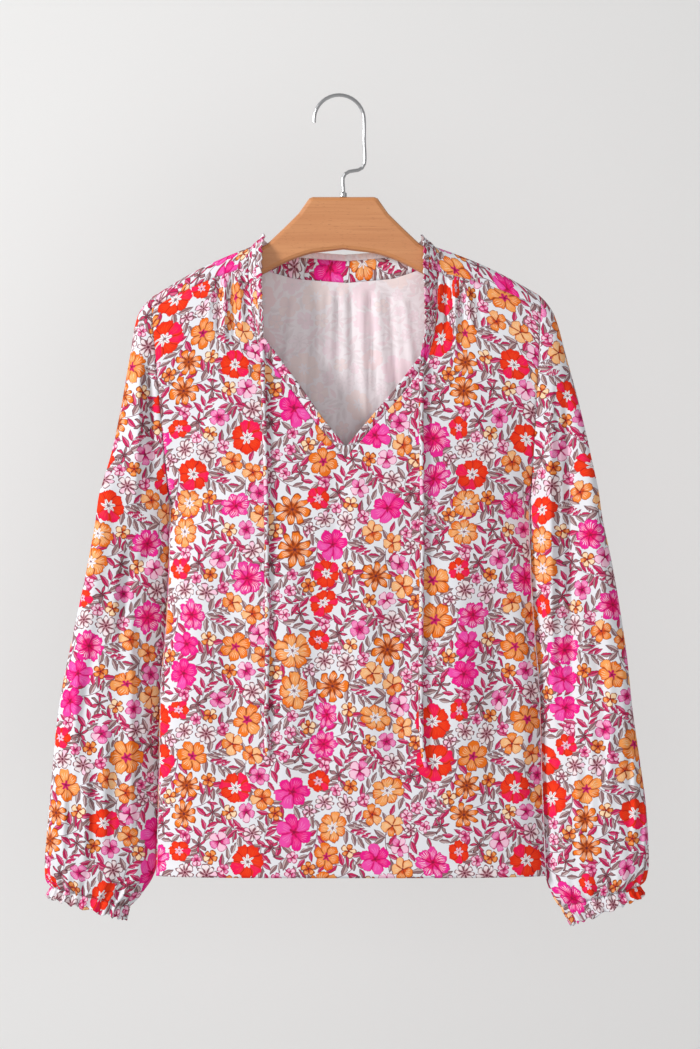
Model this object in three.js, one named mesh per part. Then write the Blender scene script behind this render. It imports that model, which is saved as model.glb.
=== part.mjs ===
// A long-sleeved blouse with a split neck and hanging ties, on a flat wooden hanger with a wire hook.
// Millimetres, +Z up. X runs to the right as the front is looked at, and the front faces -Y.
// The origin is the top of the inside of the hook, where a rail or a nail carries everything.
import * as THREE from "three";

// Cloth
const WALL = 1.4;
const SEAM_GAP = 0.4;
const FOLD_COSINE = -0.6;

// Hanger: a flat board sawn to the shoulder line, and a bent wire hook
const HANGER_X = 4.4;
const BOARD_THICKNESS = 12;
const BOARD_BEVEL = 4;
const HOOK_WIRE_RADIUS = 1.9;
const HOOK_RADIUS = 25.2;
const HOOK_LEG_END = -68;
const FERRULE_RADIUS = 3.5;
const FERRULE_HEIGHT = 4.6;

// Gathers and frills, counted on the garment
const SLEEVE_SEGMENTS = 24;
const CUFF_GATHERS = 24;
const CUFF_GATHER_DEPTH = 1.7;
const CUFF_FRILL_DEPTH = 2.6;
const SHOULDER_GATHERS = 6;
const SHOULDER_GATHER_DEPTH = 1.5;
const BACK_GATHERS = 5;
const BACK_GATHER_DEPTH = 1.6;
const NECK_FRILL_DEPTH = 1.5;
const FINE = 4;
const NECK_FINE = 6;

// Body below the armholes, a row for each level. side is the depth at which the side seam lies.
const bodyRows = [
  { z: -783, left: -184, right: 208.5, front: -30, back: 22, side: -9 },
  { z: -695, left: -181.8, right: 205, front: -30, back: 21, side: -9 },
  { z: -600, left: -180, right: 202, front: -29.5, back: 20.5, side: -9 },
  { z: -546, left: -175.5, right: 198, front: -29, back: 20, side: -8 },
  { z: -496, left: -172.5, right: 194.5, front: -28.5, back: 19.5, side: -7 },
  { z: -446, left: -171, right: 192.5, front: -28, back: 19, side: -5 },
];

// Sleeve sections from the armhole to the elastic. Each is a flattened ring between its outer and
// inner edge, front deep towards the viewer and back deep away, with an edge depth at each end.
const sleeveLeft = [
  { ox: -189, oz: -202, ix: -171, iz: -406, oy: 0, iy: 3, front: 18, back: 16 },
  { ox: -203, oz: -222, ix: -171, iz: -417, oy: -1, iy: 7, front: 21, back: 17 },
  { ox: -211, oz: -266, ix: -170, iz: -431, oy: -3, iy: 10, front: 21, back: 17 },
  { ox: -220, oz: -318, ix: -169, iz: -453, oy: -5, iy: 11, front: 21, back: 16 },
  { ox: -235, oz: -392, ix: -169, iz: -492, oy: -7, iy: 11, front: 21, back: 15 },
  { ox: -252, oz: -472, ix: -172, iz: -540, oy: -8, iy: 10, front: 21, back: 15 },
  { ox: -269, oz: -550, ix: -177, iz: -596, oy: -9, iy: 8, front: 21, back: 15 },
  { ox: -282, oz: -620, ix: -178, iz: -654, oy: -9, iy: 7, front: 22, back: 15 },
  { ox: -290, oz: -706, ix: -180, iz: -726, oy: -9, iy: 7, front: 22, back: 15 },
  { ox: -294, oz: -760, ix: -184, iz: -776, oy: -8, iy: 5, front: 22, back: 15 },
  { ox: -293, oz: -784, ix: -198, iz: -800, oy: -7, iy: 0, front: 19, back: 14 },
  { ox: -289, oz: -794, ix: -210, iz: -814, oy: -6, iy: -3, front: 15, back: 11 },
];
const sleeveRight = [
  { ox: 203.5, oz: -201, ix: 192.5, iz: -406, oy: 0, iy: 3, front: 18, back: 16 },
  { ox: 217, oz: -221, ix: 192.5, iz: -417, oy: -1, iy: 7, front: 21, back: 17 },
  { ox: 229, oz: -264, ix: 191.5, iz: -431, oy: -3, iy: 10, front: 21, back: 17 },
  { ox: 243, oz: -318, ix: 190.5, iz: -453, oy: -5, iy: 11, front: 21, back: 16 },
  { ox: 256, oz: -392, ix: 191.5, iz: -492, oy: -7, iy: 11, front: 21, back: 15 },
  { ox: 274, oz: -470, ix: 194.5, iz: -540, oy: -8, iy: 10, front: 21, back: 15 },
  { ox: 287, oz: -550, ix: 199, iz: -596, oy: -9, iy: 8, front: 21, back: 15 },
  { ox: 295, oz: -620, ix: 201, iz: -654, oy: -9, iy: 7, front: 22, back: 15 },
  { ox: 307, oz: -706, ix: 203.5, iz: -726, oy: -9, iy: 7, front: 22, back: 15 },
  { ox: 310, oz: -762, ix: 207.5, iz: -782, oy: -8, iy: 5, front: 22, back: 15 },
  { ox: 307, oz: -784, ix: 215, iz: -802, oy: -7, iy: 0, front: 19, back: 14 },
  { ox: 302, oz: -793, ix: 223, iz: -815, oy: -6, iy: -3, front: 15, back: 11 },
];
const SLEEVE_FLATNESS = 2.4;

// Free edge of each cuff frill, as one more ring
const cuffEdgeLeft = { ox: -293, oz: -804, ix: -215, iz: -827, oy: -6, iy: -4, front: 15, back: 12 };
const cuffEdgeRight = { ox: 306, oz: -803, ix: 234, iz: -832, oy: -6, iy: -4, front: 15, back: 12 };

// Front panel above the armhole's lowest point: where each row meets the centre, then the split's seam,
// then the neckband. The rows end at the matching points of the armhole, lowest first.
const FRONT_MID_X = 6.5;
const FRONT_BULGE = 5;
const frontInnerLeft = [
  { x: FRONT_MID_X, y: -28, z: -412 },
  { x: FRONT_MID_X, y: -28, z: -404 },
  { x: FRONT_MID_X, y: -27.5, z: -394 },
  { x: FRONT_MID_X, y: -27, z: -380 },
  { x: FRONT_MID_X, y: -26, z: -364 },
  { x: -24, y: -25, z: -328 },
  { x: -51, y: -23, z: -291 },
  { x: -82, y: -20, z: -249 },
  { x: -85.5, y: -18.5, z: -222 },
  { x: -90, y: -16, z: -197 },
  { x: -91.5, y: -13, z: -172 },
];
const frontInnerRight = [
  { x: FRONT_MID_X, y: -28, z: -412 },
  { x: FRONT_MID_X, y: -28, z: -404 },
  { x: FRONT_MID_X, y: -27.5, z: -394 },
  { x: FRONT_MID_X, y: -27, z: -380 },
  { x: FRONT_MID_X, y: -26, z: -364 },
  { x: 37, y: -25, z: -330 },
  { x: 62, y: -23, z: -302 },
  { x: 88, y: -20, z: -268 },
  { x: 95.5, y: -18.5, z: -240 },
  { x: 98.5, y: -16, z: -209 },
  { x: 98.5, y: -13, z: -177 },
];
const SPLIT_BOTTOM = 4;
const SPLIT_TOP = 7;

// Back panel over the shoulder: where each row meets the neckband, from the seam in front of the ridge
// over it and down to the middle of the back neck.
const SHOULDER_LIFT = 4;
const backInnerLeft = [
  { x: -91.5, y: -13, z: -172 },
  { x: -91.5, y: -9, z: -159 },
  { x: -89, y: 0, z: -151 },
  { x: -86, y: 10.5, z: -159 },
  { x: -75, y: 13.5, z: -173.5 },
  { x: -45, y: 16, z: -182 },
  { x: FRONT_MID_X, y: 17, z: -186 },
];
const backInnerRight = [
  { x: 98.5, y: -13, z: -177 },
  { x: 99, y: -9, z: -160 },
  { x: 97, y: 0, z: -151 },
  { x: 94, y: 10.5, z: -159 },
  { x: 83, y: 13.5, z: -172.5 },
  { x: 54, y: 16, z: -182 },
  { x: FRONT_MID_X, y: 17, z: -186 },
];
const BACK_BULGE = 3;
const backCentre = [
  { y: 17.5, z: -205 },
  { y: 18, z: -228 },
  { y: 18.5, z: -256 },
  { y: 19, z: -290 },
  { y: 19, z: -322 },
  { y: 19, z: -350 },
  { y: 19, z: -376 },
  { y: 19, z: -400 },
];

// Edge of the neck, from the left tie up the side, over the ridge and round the back to the right tie:
// how far the frill's free edge stands from the band's seam, and the share of that which is band.
const neckEdges = [
  { dx: 6, dy: -3, dz: 7.5, band: 0.6 },
  { dx: 9, dy: -8, dz: 3, band: 0.6 },
  { dx: 12.5, dy: -10, dz: 3, band: 0.6 },
  { dx: 14, dy: -9, dz: 5, band: 0.6 },
  { dx: 14, dy: -6, dz: 9, band: 0.6 },
  { dx: 14, dy: -1, dz: 13, band: 0.62 },
  { dx: 9, dy: 2, dz: 18, band: 0.68 },
  { dx: 4, dy: 1.5, dz: 25, band: 0.74 },
  { dx: 2, dy: 1, dz: 28, band: 0.77 },
  { dx: 0, dy: 0.5, dz: 28.5, band: 0.77 },
];

// Edge of the split, from its bottom to the tie
const splitEdgeLeft = [
  { x: 7, y: -26.8, z: -353 },
  { x: -17, y: -26.4, z: -323 },
  { x: -43, y: -24.6, z: -286 },
  { x: -76, y: -23, z: -241.5 },
];
const splitEdgeRight = [
  { x: 7, y: -26.8, z: -353 },
  { x: 31, y: -26.4, z: -324 },
  { x: 56, y: -24.6, z: -295 },
  { x: 82, y: -23, z: -260.5 },
];

// Ties: round self-cloth cords, their routes placed by hand
const TIE_DIAMETER = 4.6;
const TIE_STEPS = 36;
const tieLeftRoute = [
  { x: -77, y: -23.8, z: -250 },
  { x: -76.6, y: -24.8, z: -258 },
  { x: -76.2, y: -26, z: -270 },
  { x: -75.8, y: -27.6, z: -290 },
  { x: -75, y: -29, z: -315 },
  { x: -74, y: -29.9, z: -345 },
  { x: -73, y: -30.6, z: -380 },
  { x: -72.4, y: -31, z: -420 },
  { x: -72, y: -31.2, z: -460 },
  { x: -71.6, y: -31.4, z: -500 },
  { x: -71.4, y: -31.7, z: -540 },
  { x: -71.6, y: -32, z: -575 },
  { x: -72, y: -32.2, z: -605 },
  { x: -72.6, y: -32.3, z: -630 },
  { x: -72.2, y: -32.4, z: -648 },
  { x: -71, y: -32.4, z: -660 },
];
const tieRightRoute = [
  { x: 83, y: -24.1, z: -268 },
  { x: 82.6, y: -24.9, z: -276 },
  { x: 82.2, y: -26.2, z: -288 },
  { x: 82, y: -27.8, z: -308 },
  { x: 82, y: -29, z: -332 },
  { x: 82.4, y: -30, z: -360 },
  { x: 82.8, y: -30.6, z: -395 },
  { x: 83, y: -31, z: -435 },
  { x: 82.6, y: -31.2, z: -475 },
  { x: 82, y: -31.5, z: -515 },
  { x: 81.6, y: -31.8, z: -555 },
  { x: 81.4, y: -32, z: -590 },
  { x: 81.8, y: -32.2, z: -620 },
  { x: 82.6, y: -32.4, z: -645 },
  { x: 84.4, y: -32.4, z: -662 },
  { x: 87.4, y: -32.4, z: -672 },
];

// Half outline of the hanger's board: distance from its middle, top edge and bottom edge
const boardRows = [
  { d: 0, top: -101, bottom: -153.6 },
  { d: 31, top: -101, bottom: -157.3 },
  { d: 34.5, top: -102.5, bottom: -158.2 },
  { d: 38, top: -107.5, bottom: -159.2 },
  { d: 45, top: -117.5, bottom: -161.5 },
  { d: 56, top: -128.5, bottom: -165.8 },
  { d: 68, top: -140, bottom: -171.6 },
  { d: 77, top: -148.5, bottom: -176.7 },
  { d: 93, top: -157, bottom: -184.5 },
  { d: 117, top: -166.8, bottom: -194 },
  { d: 150, top: -181.8, bottom: -205 },
  { d: 165, top: -190.4, bottom: -208.5 },
  { d: 171, top: -198, bottom: -206 },
];

const WHITE_PRINT = { color: 0xe9dfe0, roughness: 0.8, metalness: 0 };
const BEECH = { color: 0xcf8d58, roughness: 0.5, metalness: 0 };
const STEEL = { color: 0xb9bcbf, roughness: 0.28, metalness: 1 };

// Tables read as smooth curves: a column's value at a fractional row
function along(table, column, t) {
  const last = table.length - 1;
  const i = Math.min(Math.floor(t), last - 1);
  const f = t - i;
  const p0 = table[Math.max(i - 1, 0)][column];
  const p1 = table[i][column];
  const p2 = table[i + 1][column];
  const p3 = table[Math.min(i + 2, last)][column];
  const slope1 = (p2 - p0) / 2;
  const slope2 = (p3 - p1) / 2;
  const h = 2 * f ** 3 - 3 * f ** 2 + 1;
  return h * p1 + (1 - h) * p2 + (f ** 3 - 2 * f ** 2 + f) * slope1 + (f ** 3 - f ** 2) * slope2;
}

function rowAt(table, t) {
  return Object.fromEntries(Object.keys(table[0]).map((column) => [column, along(table, column, t)]));
}

function mix(a, b, f) {
  return a + (b - a) * f;
}

function mixPoints(a, b, f) {
  return { x: mix(a.x, b.x, f), y: mix(a.y, b.y, f), z: mix(a.z, b.z, f) };
}

// A row of points with each of its segments cut into equal parts
function refined(row, parts) {
  const out = [row[0]];
  for (let i = 1; i < row.length; i += 1) {
    for (let k = 1; k <= parts; k += 1) {
      out.push(mixPoints(row[i - 1], row[i], k / parts));
    }
  }
  return out;
}

// A point of a sleeve ring. turn runs from 0 at the outer edge, over the front, to 0.5 at the inner edge.
function ringPoint(section, turn) {
  const angle = turn * 2 * Math.PI;
  const c = Math.cos(angle);
  const s = Math.sin(angle);
  const across = 0.5 - 0.5 * Math.sign(c) * Math.abs(c) ** (2 / SLEEVE_FLATNESS);
  const deep = Math.abs(s) ** (2 / SLEEVE_FLATNESS);
  const depth = s > 0 ? -section.front : section.back;
  return {
    x: mix(section.ox, section.ix, across),
    y: mix(section.oy, section.iy, across) + depth * deep,
    z: mix(section.oz, section.iz, across),
  };
}

function ring(section, segments) {
  const points = [];
  for (let i = 0; i < segments; i += 1) {
    points.push(ringPoint(section, i / segments));
  }
  return points;
}

// A ring whose points lie on a coarser ring's straight sides, then wave in and out across the ring
function gatheredRing(section, depth) {
  const coarse = ring(section, SLEEVE_SEGMENTS);
  const points = refined([...coarse, coarse[0]], FINE).slice(0, -1);
  const middle = { x: (section.ox + section.ix) / 2, z: (section.oz + section.iz) / 2 };
  const middleY = (section.oy + section.iy) / 2;
  return points.map((p, i) => {
    const wave = depth * Math.cos((2 * Math.PI * i * CUFF_GATHERS) / points.length);
    const away = new THREE.Vector3((p.x - middle.x) * 0.25, p.y - middleY, (p.z - middle.z) * 0.25).normalize();
    return { x: p.x + away.x * wave, y: p.y + away.y * wave, z: p.z + away.z * wave };
  });
}

// A surface is a list of triangles on points. Rows are joined one to one, or one to many where the
// next row is finer. flip turns the faces round.
class Surface {
  constructor(name, material) {
    this.name = name;
    this.material = material;
    this.points = [];
    this.triangles = [];
    this.index = new Map();
  }

  vertex(p) {
    const key = keyOf(p);
    if (!this.index.has(key)) {
      this.index.set(key, this.points.length);
      this.points.push(new THREE.Vector3(p.x, p.y, p.z));
    }
    return this.index.get(key);
  }

  triangle(a, b, c, flip) {
    const corners = [this.vertex(a), this.vertex(b), this.vertex(c)];
    if (new Set(corners).size < 3) return;
    this.triangles.push(flip ? corners.reverse() : corners);
  }

  join(lower, upper, flip) {
    if (lower.length > upper.length) {
      this.join(upper, lower, !flip);
      return;
    }
    const parts = Math.round((upper.length - 1) / (lower.length - 1));
    const half = Math.floor(parts / 2);
    for (let i = 0; i + 1 < lower.length; i += 1) {
      const first = i * parts;
      for (let k = 0; k < half; k += 1) {
        this.triangle(lower[i], upper[first + k + 1], upper[first + k], flip);
      }
      this.triangle(lower[i], lower[i + 1], upper[first + half], flip);
      for (let k = half; k < parts; k += 1) {
        this.triangle(lower[i + 1], upper[first + k + 1], upper[first + k], flip);
      }
    }
  }

  joinRows(rows, flip) {
    for (let i = 0; i + 1 < rows.length; i += 1) {
      this.join(rows[i], rows[i + 1], flip);
    }
  }
}

function keyOf(p) {
  return [p.x, p.y, p.z].map((value) => Math.round(value * 1000)).join(",");
}

// Normals of each piece at its own points, longer where the faces are larger
function ownNormals(surface) {
  const normals = new Map();
  const ab = new THREE.Vector3();
  const ac = new THREE.Vector3();
  for (const [a, b, c] of surface.triangles) {
    ab.subVectors(surface.points[b], surface.points[a]);
    ac.subVectors(surface.points[c], surface.points[a]);
    const face = ab.clone().cross(ac);
    face.divideScalar(Math.sqrt(face.length()) + 1e-9);
    for (const corner of [a, b, c]) {
      const key = keyOf(surface.points[corner]);
      if (!normals.has(key)) normals.set(key, new THREE.Vector3());
      normals.get(key).add(face);
    }
  }
  return normals;
}

// The normal at a point: shared by the pieces sewn there that face the same way, so that their walls
// keep one thickness. back is how far the wall draws into itself where pieces lie face to face.
function normalAt(surface, i, garment) {
  const key = keyOf(surface.points[i]);
  const own = surface.normals.get(key);
  const sum = own.clone();
  let back = 0;
  for (const other of garment) {
    if (other === surface || !other.normals.has(key)) continue;
    const near = other.normals.get(key);
    if (near.dot(own) > FOLD_COSINE * near.length() * own.length()) sum.add(near);
    else back = SEAM_GAP / 2;
  }
  return { normal: sum.normalize(), back };
}

// The edges of a piece, and how far each point on them draws back from the seam line along the surface
function edgeDraws(surface, normals) {
  const used = new Set(surface.triangles.flatMap(([a, b, c]) => [`${a},${b}`, `${b},${c}`, `${c},${a}`]));
  const edges = [...used].map((edge) => edge.split(",").map(Number)).filter(([a, b]) => !used.has(`${b},${a}`));
  const inward = new Map();
  for (const [a, b] of edges) {
    const side = new THREE.Vector3().subVectors(surface.points[b], surface.points[a]).normalize();
    for (const corner of [a, b]) {
      const draw = normals[corner].normal.clone().cross(side).normalize();
      if (!inward.has(corner)) inward.set(corner, []);
      inward.get(corner).push(draw);
    }
  }
  const draws = new Map();
  for (const [corner, [first, second]] of inward) {
    const open = Math.max(1 + first.dot(second), 0.5);
    const draw = first.clone().add(second).multiplyScalar(SEAM_GAP / 2 / open);
    draws.set(corner, draw.addScaledVector(normals[corner].normal, -normals[corner].back));
  }
  return { edges, draws };
}

// A cloth wall: the surface, its copy one wall further in, and a strip round its edges. Each square of
// the strip is cut along the diagonal that the piece sewn to it also uses.
function clothMesh(surface, garment) {
  const normals = surface.points.map((p, i) => normalAt(surface, i, garment));
  const { edges, draws } = edgeDraws(surface, normals);
  const outer = surface.points.map((p, i) => (draws.has(i) ? p.clone().add(draws.get(i)) : p));
  const inner = outer.map((p, i) => p.clone().addScaledVector(normals[i].normal, -WALL));
  const count = outer.length;
  const faces = [];
  for (const [a, b, c] of surface.triangles) {
    faces.push(a, b, c, c + count, b + count, a + count);
  }
  for (const [a, b] of edges) {
    if (keyOf(surface.points[a]) < keyOf(surface.points[b])) {
      faces.push(b, a, a + count, b, a + count, b + count);
    } else {
      faces.push(b, a, b + count, a, a + count, b + count);
    }
  }
  const geometry = new THREE.BufferGeometry();
  const places = [...outer, ...inner].flatMap((p) => p.toArray());
  geometry.setAttribute("position", new THREE.Float32BufferAttribute(places, 3));
  geometry.setIndex(faces);
  return namedMesh(surface.name, geometry, surface.material);
}

function namedMesh(name, geometry, look) {
  geometry.computeVertexNormals();
  const mesh = new THREE.Mesh(geometry, new THREE.MeshStandardMaterial(look));
  mesh.name = name;
  return mesh;
}

// Columns across a body row crowd towards the neck by the given power
const BODY_COLUMNS = 12;
function bodyRow(inner, outer, options) {
  const points = [];
  for (let i = 0; i <= BODY_COLUMNS; i += 1) {
    const u = (i / BODY_COLUMNS) ** options.crowd;
    const p = mixPoints(inner, outer, u);
    p.y = options.depth(u, p);
    p.z += options.lift * Math.sin(Math.PI * u);
    points.push(p);
  }
  return points;
}

// Below the armhole the panel is full across and rolls off to the side seam
function levelRow(table, t, side, face) {
  const level = rowAt(table, t);
  const inner = { x: FRONT_MID_X, y: level[face], z: level.z };
  const outer = { x: level[side], y: level.side, z: level.z };
  return bodyRow(inner, outer, { crowd: 1, lift: 0, depth: (u) => rollOff(level[face], level.side, u) });
}

function rollOff(middle, edge, u) {
  return edge + (middle - edge) * (1 - u ** 4) ** 0.7;
}

// Gathers: waves across a row from one share of its length to another, towards the viewer or away
function gathered(row, waves, from, to, depth) {
  return refined(row, FINE).map((p, i, all) => {
    const u = i / (all.length - 1);
    if (u <= from || u >= to) return p;
    const s = (u - from) / (to - from);
    const swell = Math.sin(Math.PI * s) ** 0.5;
    return { ...p, y: p.y - depth * swell * Math.sin(2 * Math.PI * waves * s) };
  });
}

const ARMHOLE_LOW = SLEEVE_SEGMENTS / 2;
const SHOULDER_SEAM = 2;
const CROWD_TOP = 1.4;

// The seam in front of the ridge, which the front and the back share
function shoulderSeam(inner, outer) {
  const depth = (u) => mix(inner.y, outer.y, u ** 2);
  return refined(bodyRow(inner, outer, { crowd: CROWD_TOP, lift: SHOULDER_LIFT, depth }), FINE);
}

function frontHalf(surface, side, sleeve, innerPoints, flip) {
  const armhole = ring(sleeve[0], SLEEVE_SEGMENTS);
  const rows = [];
  for (let t = 0; t < bodyRows.length; t += 1) {
    rows.push(levelRow(bodyRows, t, side, "front"));
  }
  innerPoints.forEach((inner, i) => {
    const outer = armhole[ARMHOLE_LOW - i];
    const rise = i / (innerPoints.length - 1);
    const low = Math.max(1 - i / 4, 0);
    const depth = (u) => {
      const flat = mix(inner.y, outer.y, u ** 2) - FRONT_BULGE * Math.sin(Math.PI * u) * (1 - rise);
      return mix(flat, rollOff(inner.y, outer.y, u), low);
    };
    rows.push(bodyRow(inner, outer, { crowd: mix(1, CROWD_TOP, rise), lift: SHOULDER_LIFT * rise ** 3, depth }));
  });
  const seam = rows.length - 1;
  const fine = rows.map((row, i) => {
    const fromSeam = seam - i;
    if (fromSeam > 3) return row;
    const depth = [0, 1, 0.8, 0.35][fromSeam] * SHOULDER_GATHER_DEPTH;
    return gathered(row, SHOULDER_GATHERS, 0.04, 0.6, depth);
  });
  fine[seam] = shoulderSeam(innerPoints.at(-1), armhole[SHOULDER_SEAM]);
  surface.joinRows(fine, flip);
}

function backHalf(surface, side, sleeve, innerPoints, flip) {
  const armhole = ring(sleeve[0], SLEEVE_SEGMENTS);
  const rows = [];
  const centre = backCentre.map((p) => ({ x: FRONT_MID_X, ...p }));
  const all = [...innerPoints, ...centre];
  const steps = SLEEVE_SEGMENTS - ARMHOLE_LOW + SHOULDER_SEAM;
  all.forEach((inner, i) => {
    const outer = armhole[(SLEEVE_SEGMENTS + SHOULDER_SEAM - i) % SLEEVE_SEGMENTS];
    const share = i / steps;
    const low = Math.max(1 - (steps - i) / 4, 0);
    const depth = (u) => {
      const flat = mix(inner.y, outer.y, u ** 4) + BACK_BULGE * Math.sin(Math.PI * u) * Math.max(share - 0.3, 0);
      return mix(flat, rollOff(inner.y, outer.y, u), low);
    };
    const lift = SHOULDER_LIFT * Math.min(Math.max(1.8 - i / 4, 0), 1);
    rows.push(bodyRow(inner, outer, { crowd: mix(CROWD_TOP, 1, share), lift, depth }));
  });
  const neck = innerPoints.length - 1;
  const fine = rows.map((row, i) => {
    const fromNeck = i - neck;
    if (i === 0) return shoulderSeam(innerPoints[0], armhole[SHOULDER_SEAM]);
    if (fromNeck < 0 || fromNeck > 2) return row;
    return gathered(row, BACK_GATHERS, 0, 0.5, [0.8, 1, 0.5][fromNeck] * BACK_GATHER_DEPTH);
  });
  for (let t = bodyRows.length - 1; t >= 0; t -= 1) {
    fine.push(levelRow(bodyRows, t, side, "back"));
  }
  surface.joinRows(fine, flip);
}

function sleeveSurface(name, table, flip) {
  const surface = new Surface(name, WHITE_PRINT);
  const rows = [];
  for (let t = 0; t < table.length - 3; t += 1) {
    rows.push(ring(table[t], SLEEVE_SEGMENTS));
    if (t < 5 && t > 0) rows.push(ring(rowAt(table, t + 0.5), SLEEVE_SEGMENTS));
  }
  rows.push(gatheredRing(table.at(-3), CUFF_GATHER_DEPTH * 0.5));
  rows.push(gatheredRing(table.at(-2), CUFF_GATHER_DEPTH));
  rows.push(gatheredRing(table.at(-1), CUFF_GATHER_DEPTH * 0.5));
  surface.joinRows(rows.map((row) => [...row, row[0]]), flip);
  return surface;
}

function cuffSurface(name, table, edge, flip) {
  const surface = new Surface(name, WHITE_PRINT);
  const rows = [gatheredRing(table.at(-1), CUFF_GATHER_DEPTH * 0.5), gatheredRing(edge, CUFF_FRILL_DEPTH)];
  surface.joinRows(rows.map((row) => [...row, row[0]]), flip);
  return surface;
}

// Neck seam from the left tie to the right tie, with the edge table read outwards from both ends
function neckRows() {
  const left = [...frontInnerLeft.slice(SPLIT_TOP), ...backInnerLeft.slice(1)];
  const right = [...frontInnerRight.slice(SPLIT_TOP), ...backInnerRight.slice(1, -1)];
  const stand = (p, edge, sign, share) => ({
    x: p.x + sign * edge.dx * share,
    y: p.y + edge.dy * share,
    z: p.z + edge.dz * share,
  });
  const build = (shareOf) => [
    ...left.map((p, i) => stand(p, neckEdges[i], 1, shareOf(neckEdges[i]))),
    ...right.map((p, i) => stand(p, neckEdges[i], -1, shareOf(neckEdges[i]))).reverse(),
  ];
  return { seam: build(() => 0), top: build((edge) => edge.band), edge: build(() => 1) };
}

function neckFrill(rows) {
  const base = refined(rows.top, NECK_FINE);
  const free = refined(rows.edge, NECK_FINE).map((p, i, all) => {
    const before = all[Math.max(i - 1, 0)];
    const after = all[Math.min(i + 1, all.length - 1)];
    const run = new THREE.Vector3().subVectors(after, before);
    const rise = new THREE.Vector3().subVectors(p, base[i]);
    const out = run.cross(rise).normalize().multiplyScalar(NECK_FRILL_DEPTH * Math.sin((Math.PI * i) / 2 + 0.6));
    return { x: p.x + out.x, y: p.y + out.y, z: p.z + out.z };
  });
  const surface = new Surface("neck_frill", WHITE_PRINT);
  surface.joinRows([base, free], true);
  return surface;
}

function strip(name, lower, upper, flip) {
  const surface = new Surface(name, WHITE_PRINT);
  surface.joinRows([lower, upper], flip);
  return surface;
}

function pointCurve(route) {
  return new THREE.CatmullRomCurve3(route.map((p) => new THREE.Vector3(p.x, p.y, p.z)));
}

function rod(name, curve, radius, steps, sides, look) {
  const section = new THREE.Shape();
  for (let i = 0; i < sides; i += 1) {
    const angle = (i / sides) * 2 * Math.PI;
    const x = radius * Math.cos(angle);
    const y = radius * Math.sin(angle);
    if (i === 0) section.moveTo(x, y);
    else section.lineTo(x, y);
  }
  section.closePath();
  const geometry = new THREE.ExtrudeGeometry(section, { steps, extrudePath: curve, bevelEnabled: false });
  return namedMesh(name, geometry, look);
}

function board() {
  const shape = new THREE.Shape();
  const right = boardRows.map((row) => ({ x: HANGER_X + row.d, top: row.top, bottom: row.bottom }));
  const left = boardRows.slice(1).map((row) => ({ x: HANGER_X - row.d, top: row.top, bottom: row.bottom }));
  shape.moveTo(right[0].x, right[0].bottom);
  right.slice(1).forEach((row) => shape.lineTo(row.x, row.bottom));
  [...right].reverse().forEach((row) => shape.lineTo(row.x, row.top));
  left.forEach((row) => shape.lineTo(row.x, row.top));
  [...left].reverse().forEach((row) => shape.lineTo(row.x, row.bottom));
  const geometry = new THREE.ExtrudeGeometry(shape, {
    depth: BOARD_THICKNESS - 2 * BOARD_BEVEL,
    bevelThickness: BOARD_BEVEL,
    bevelSize: BOARD_BEVEL,
    bevelOffset: -BOARD_BEVEL,
    bevelSegments: 2,
  });
  geometry.translate(0, 0, BOARD_BEVEL - BOARD_THICKNESS / 2);
  geometry.rotateX(Math.PI / 2);
  return namedMesh("hanger_board", geometry, BEECH);
}

function hook() {
  const wireTop = HOOK_WIRE_RADIUS;
  const centre = wireTop - HOOK_RADIUS;
  const route = [];
  for (let degrees = 186; degrees >= 0; degrees -= 15.5) {
    const angle = (degrees * Math.PI) / 180;
    route.push({ x: HOOK_RADIUS * Math.cos(angle), y: 0, z: centre + HOOK_RADIUS * Math.sin(angle) });
  }
  route.push({ x: HOOK_RADIUS, y: 0, z: centre - 20 });
  route.push({ x: HOOK_RADIUS, y: 0, z: HOOK_LEG_END });
  route.push({ x: HOOK_RADIUS - 4, y: 0, z: HOOK_LEG_END - 5 });
  route.push({ x: HANGER_X + 5, y: 0, z: HOOK_LEG_END - 7.5 });
  route.push({ x: HANGER_X, y: 0, z: HOOK_LEG_END - 12 });
  route.push({ x: HANGER_X, y: 0, z: boardRows[0].top + FERRULE_HEIGHT + 2 * SEAM_GAP });
  return rod("hanger_hook", pointCurve(route), HOOK_WIRE_RADIUS, 36, 8, STEEL);
}

function ferrule() {
  const low = boardRows[0].top + SEAM_GAP;
  const profile = [
    new THREE.Vector2(0, 0),
    new THREE.Vector2(FERRULE_RADIUS, 0),
    new THREE.Vector2(FERRULE_RADIUS, FERRULE_HEIGHT - 1),
    new THREE.Vector2(FERRULE_RADIUS - 1, FERRULE_HEIGHT),
    new THREE.Vector2(0, FERRULE_HEIGHT),
  ];
  const geometry = new THREE.LatheGeometry(profile, 16);
  geometry.rotateX(Math.PI / 2);
  geometry.translate(HANGER_X, 0, low);
  return namedMesh("hanger_ferrule", geometry, STEEL);
}

const front = new Surface("front", WHITE_PRINT);
frontHalf(front, "left", sleeveLeft, frontInnerLeft, true);
frontHalf(front, "right", sleeveRight, frontInnerRight, false);

const back = new Surface("back", WHITE_PRINT);
backHalf(back, "left", sleeveLeft, backInnerLeft, true);
backHalf(back, "right", sleeveRight, backInnerRight, false);

const neck = neckRows();
const splitSeamLeft = frontInnerLeft.slice(SPLIT_BOTTOM, SPLIT_TOP + 1);
const splitSeamRight = frontInnerRight.slice(SPLIT_BOTTOM, SPLIT_TOP + 1);

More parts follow.
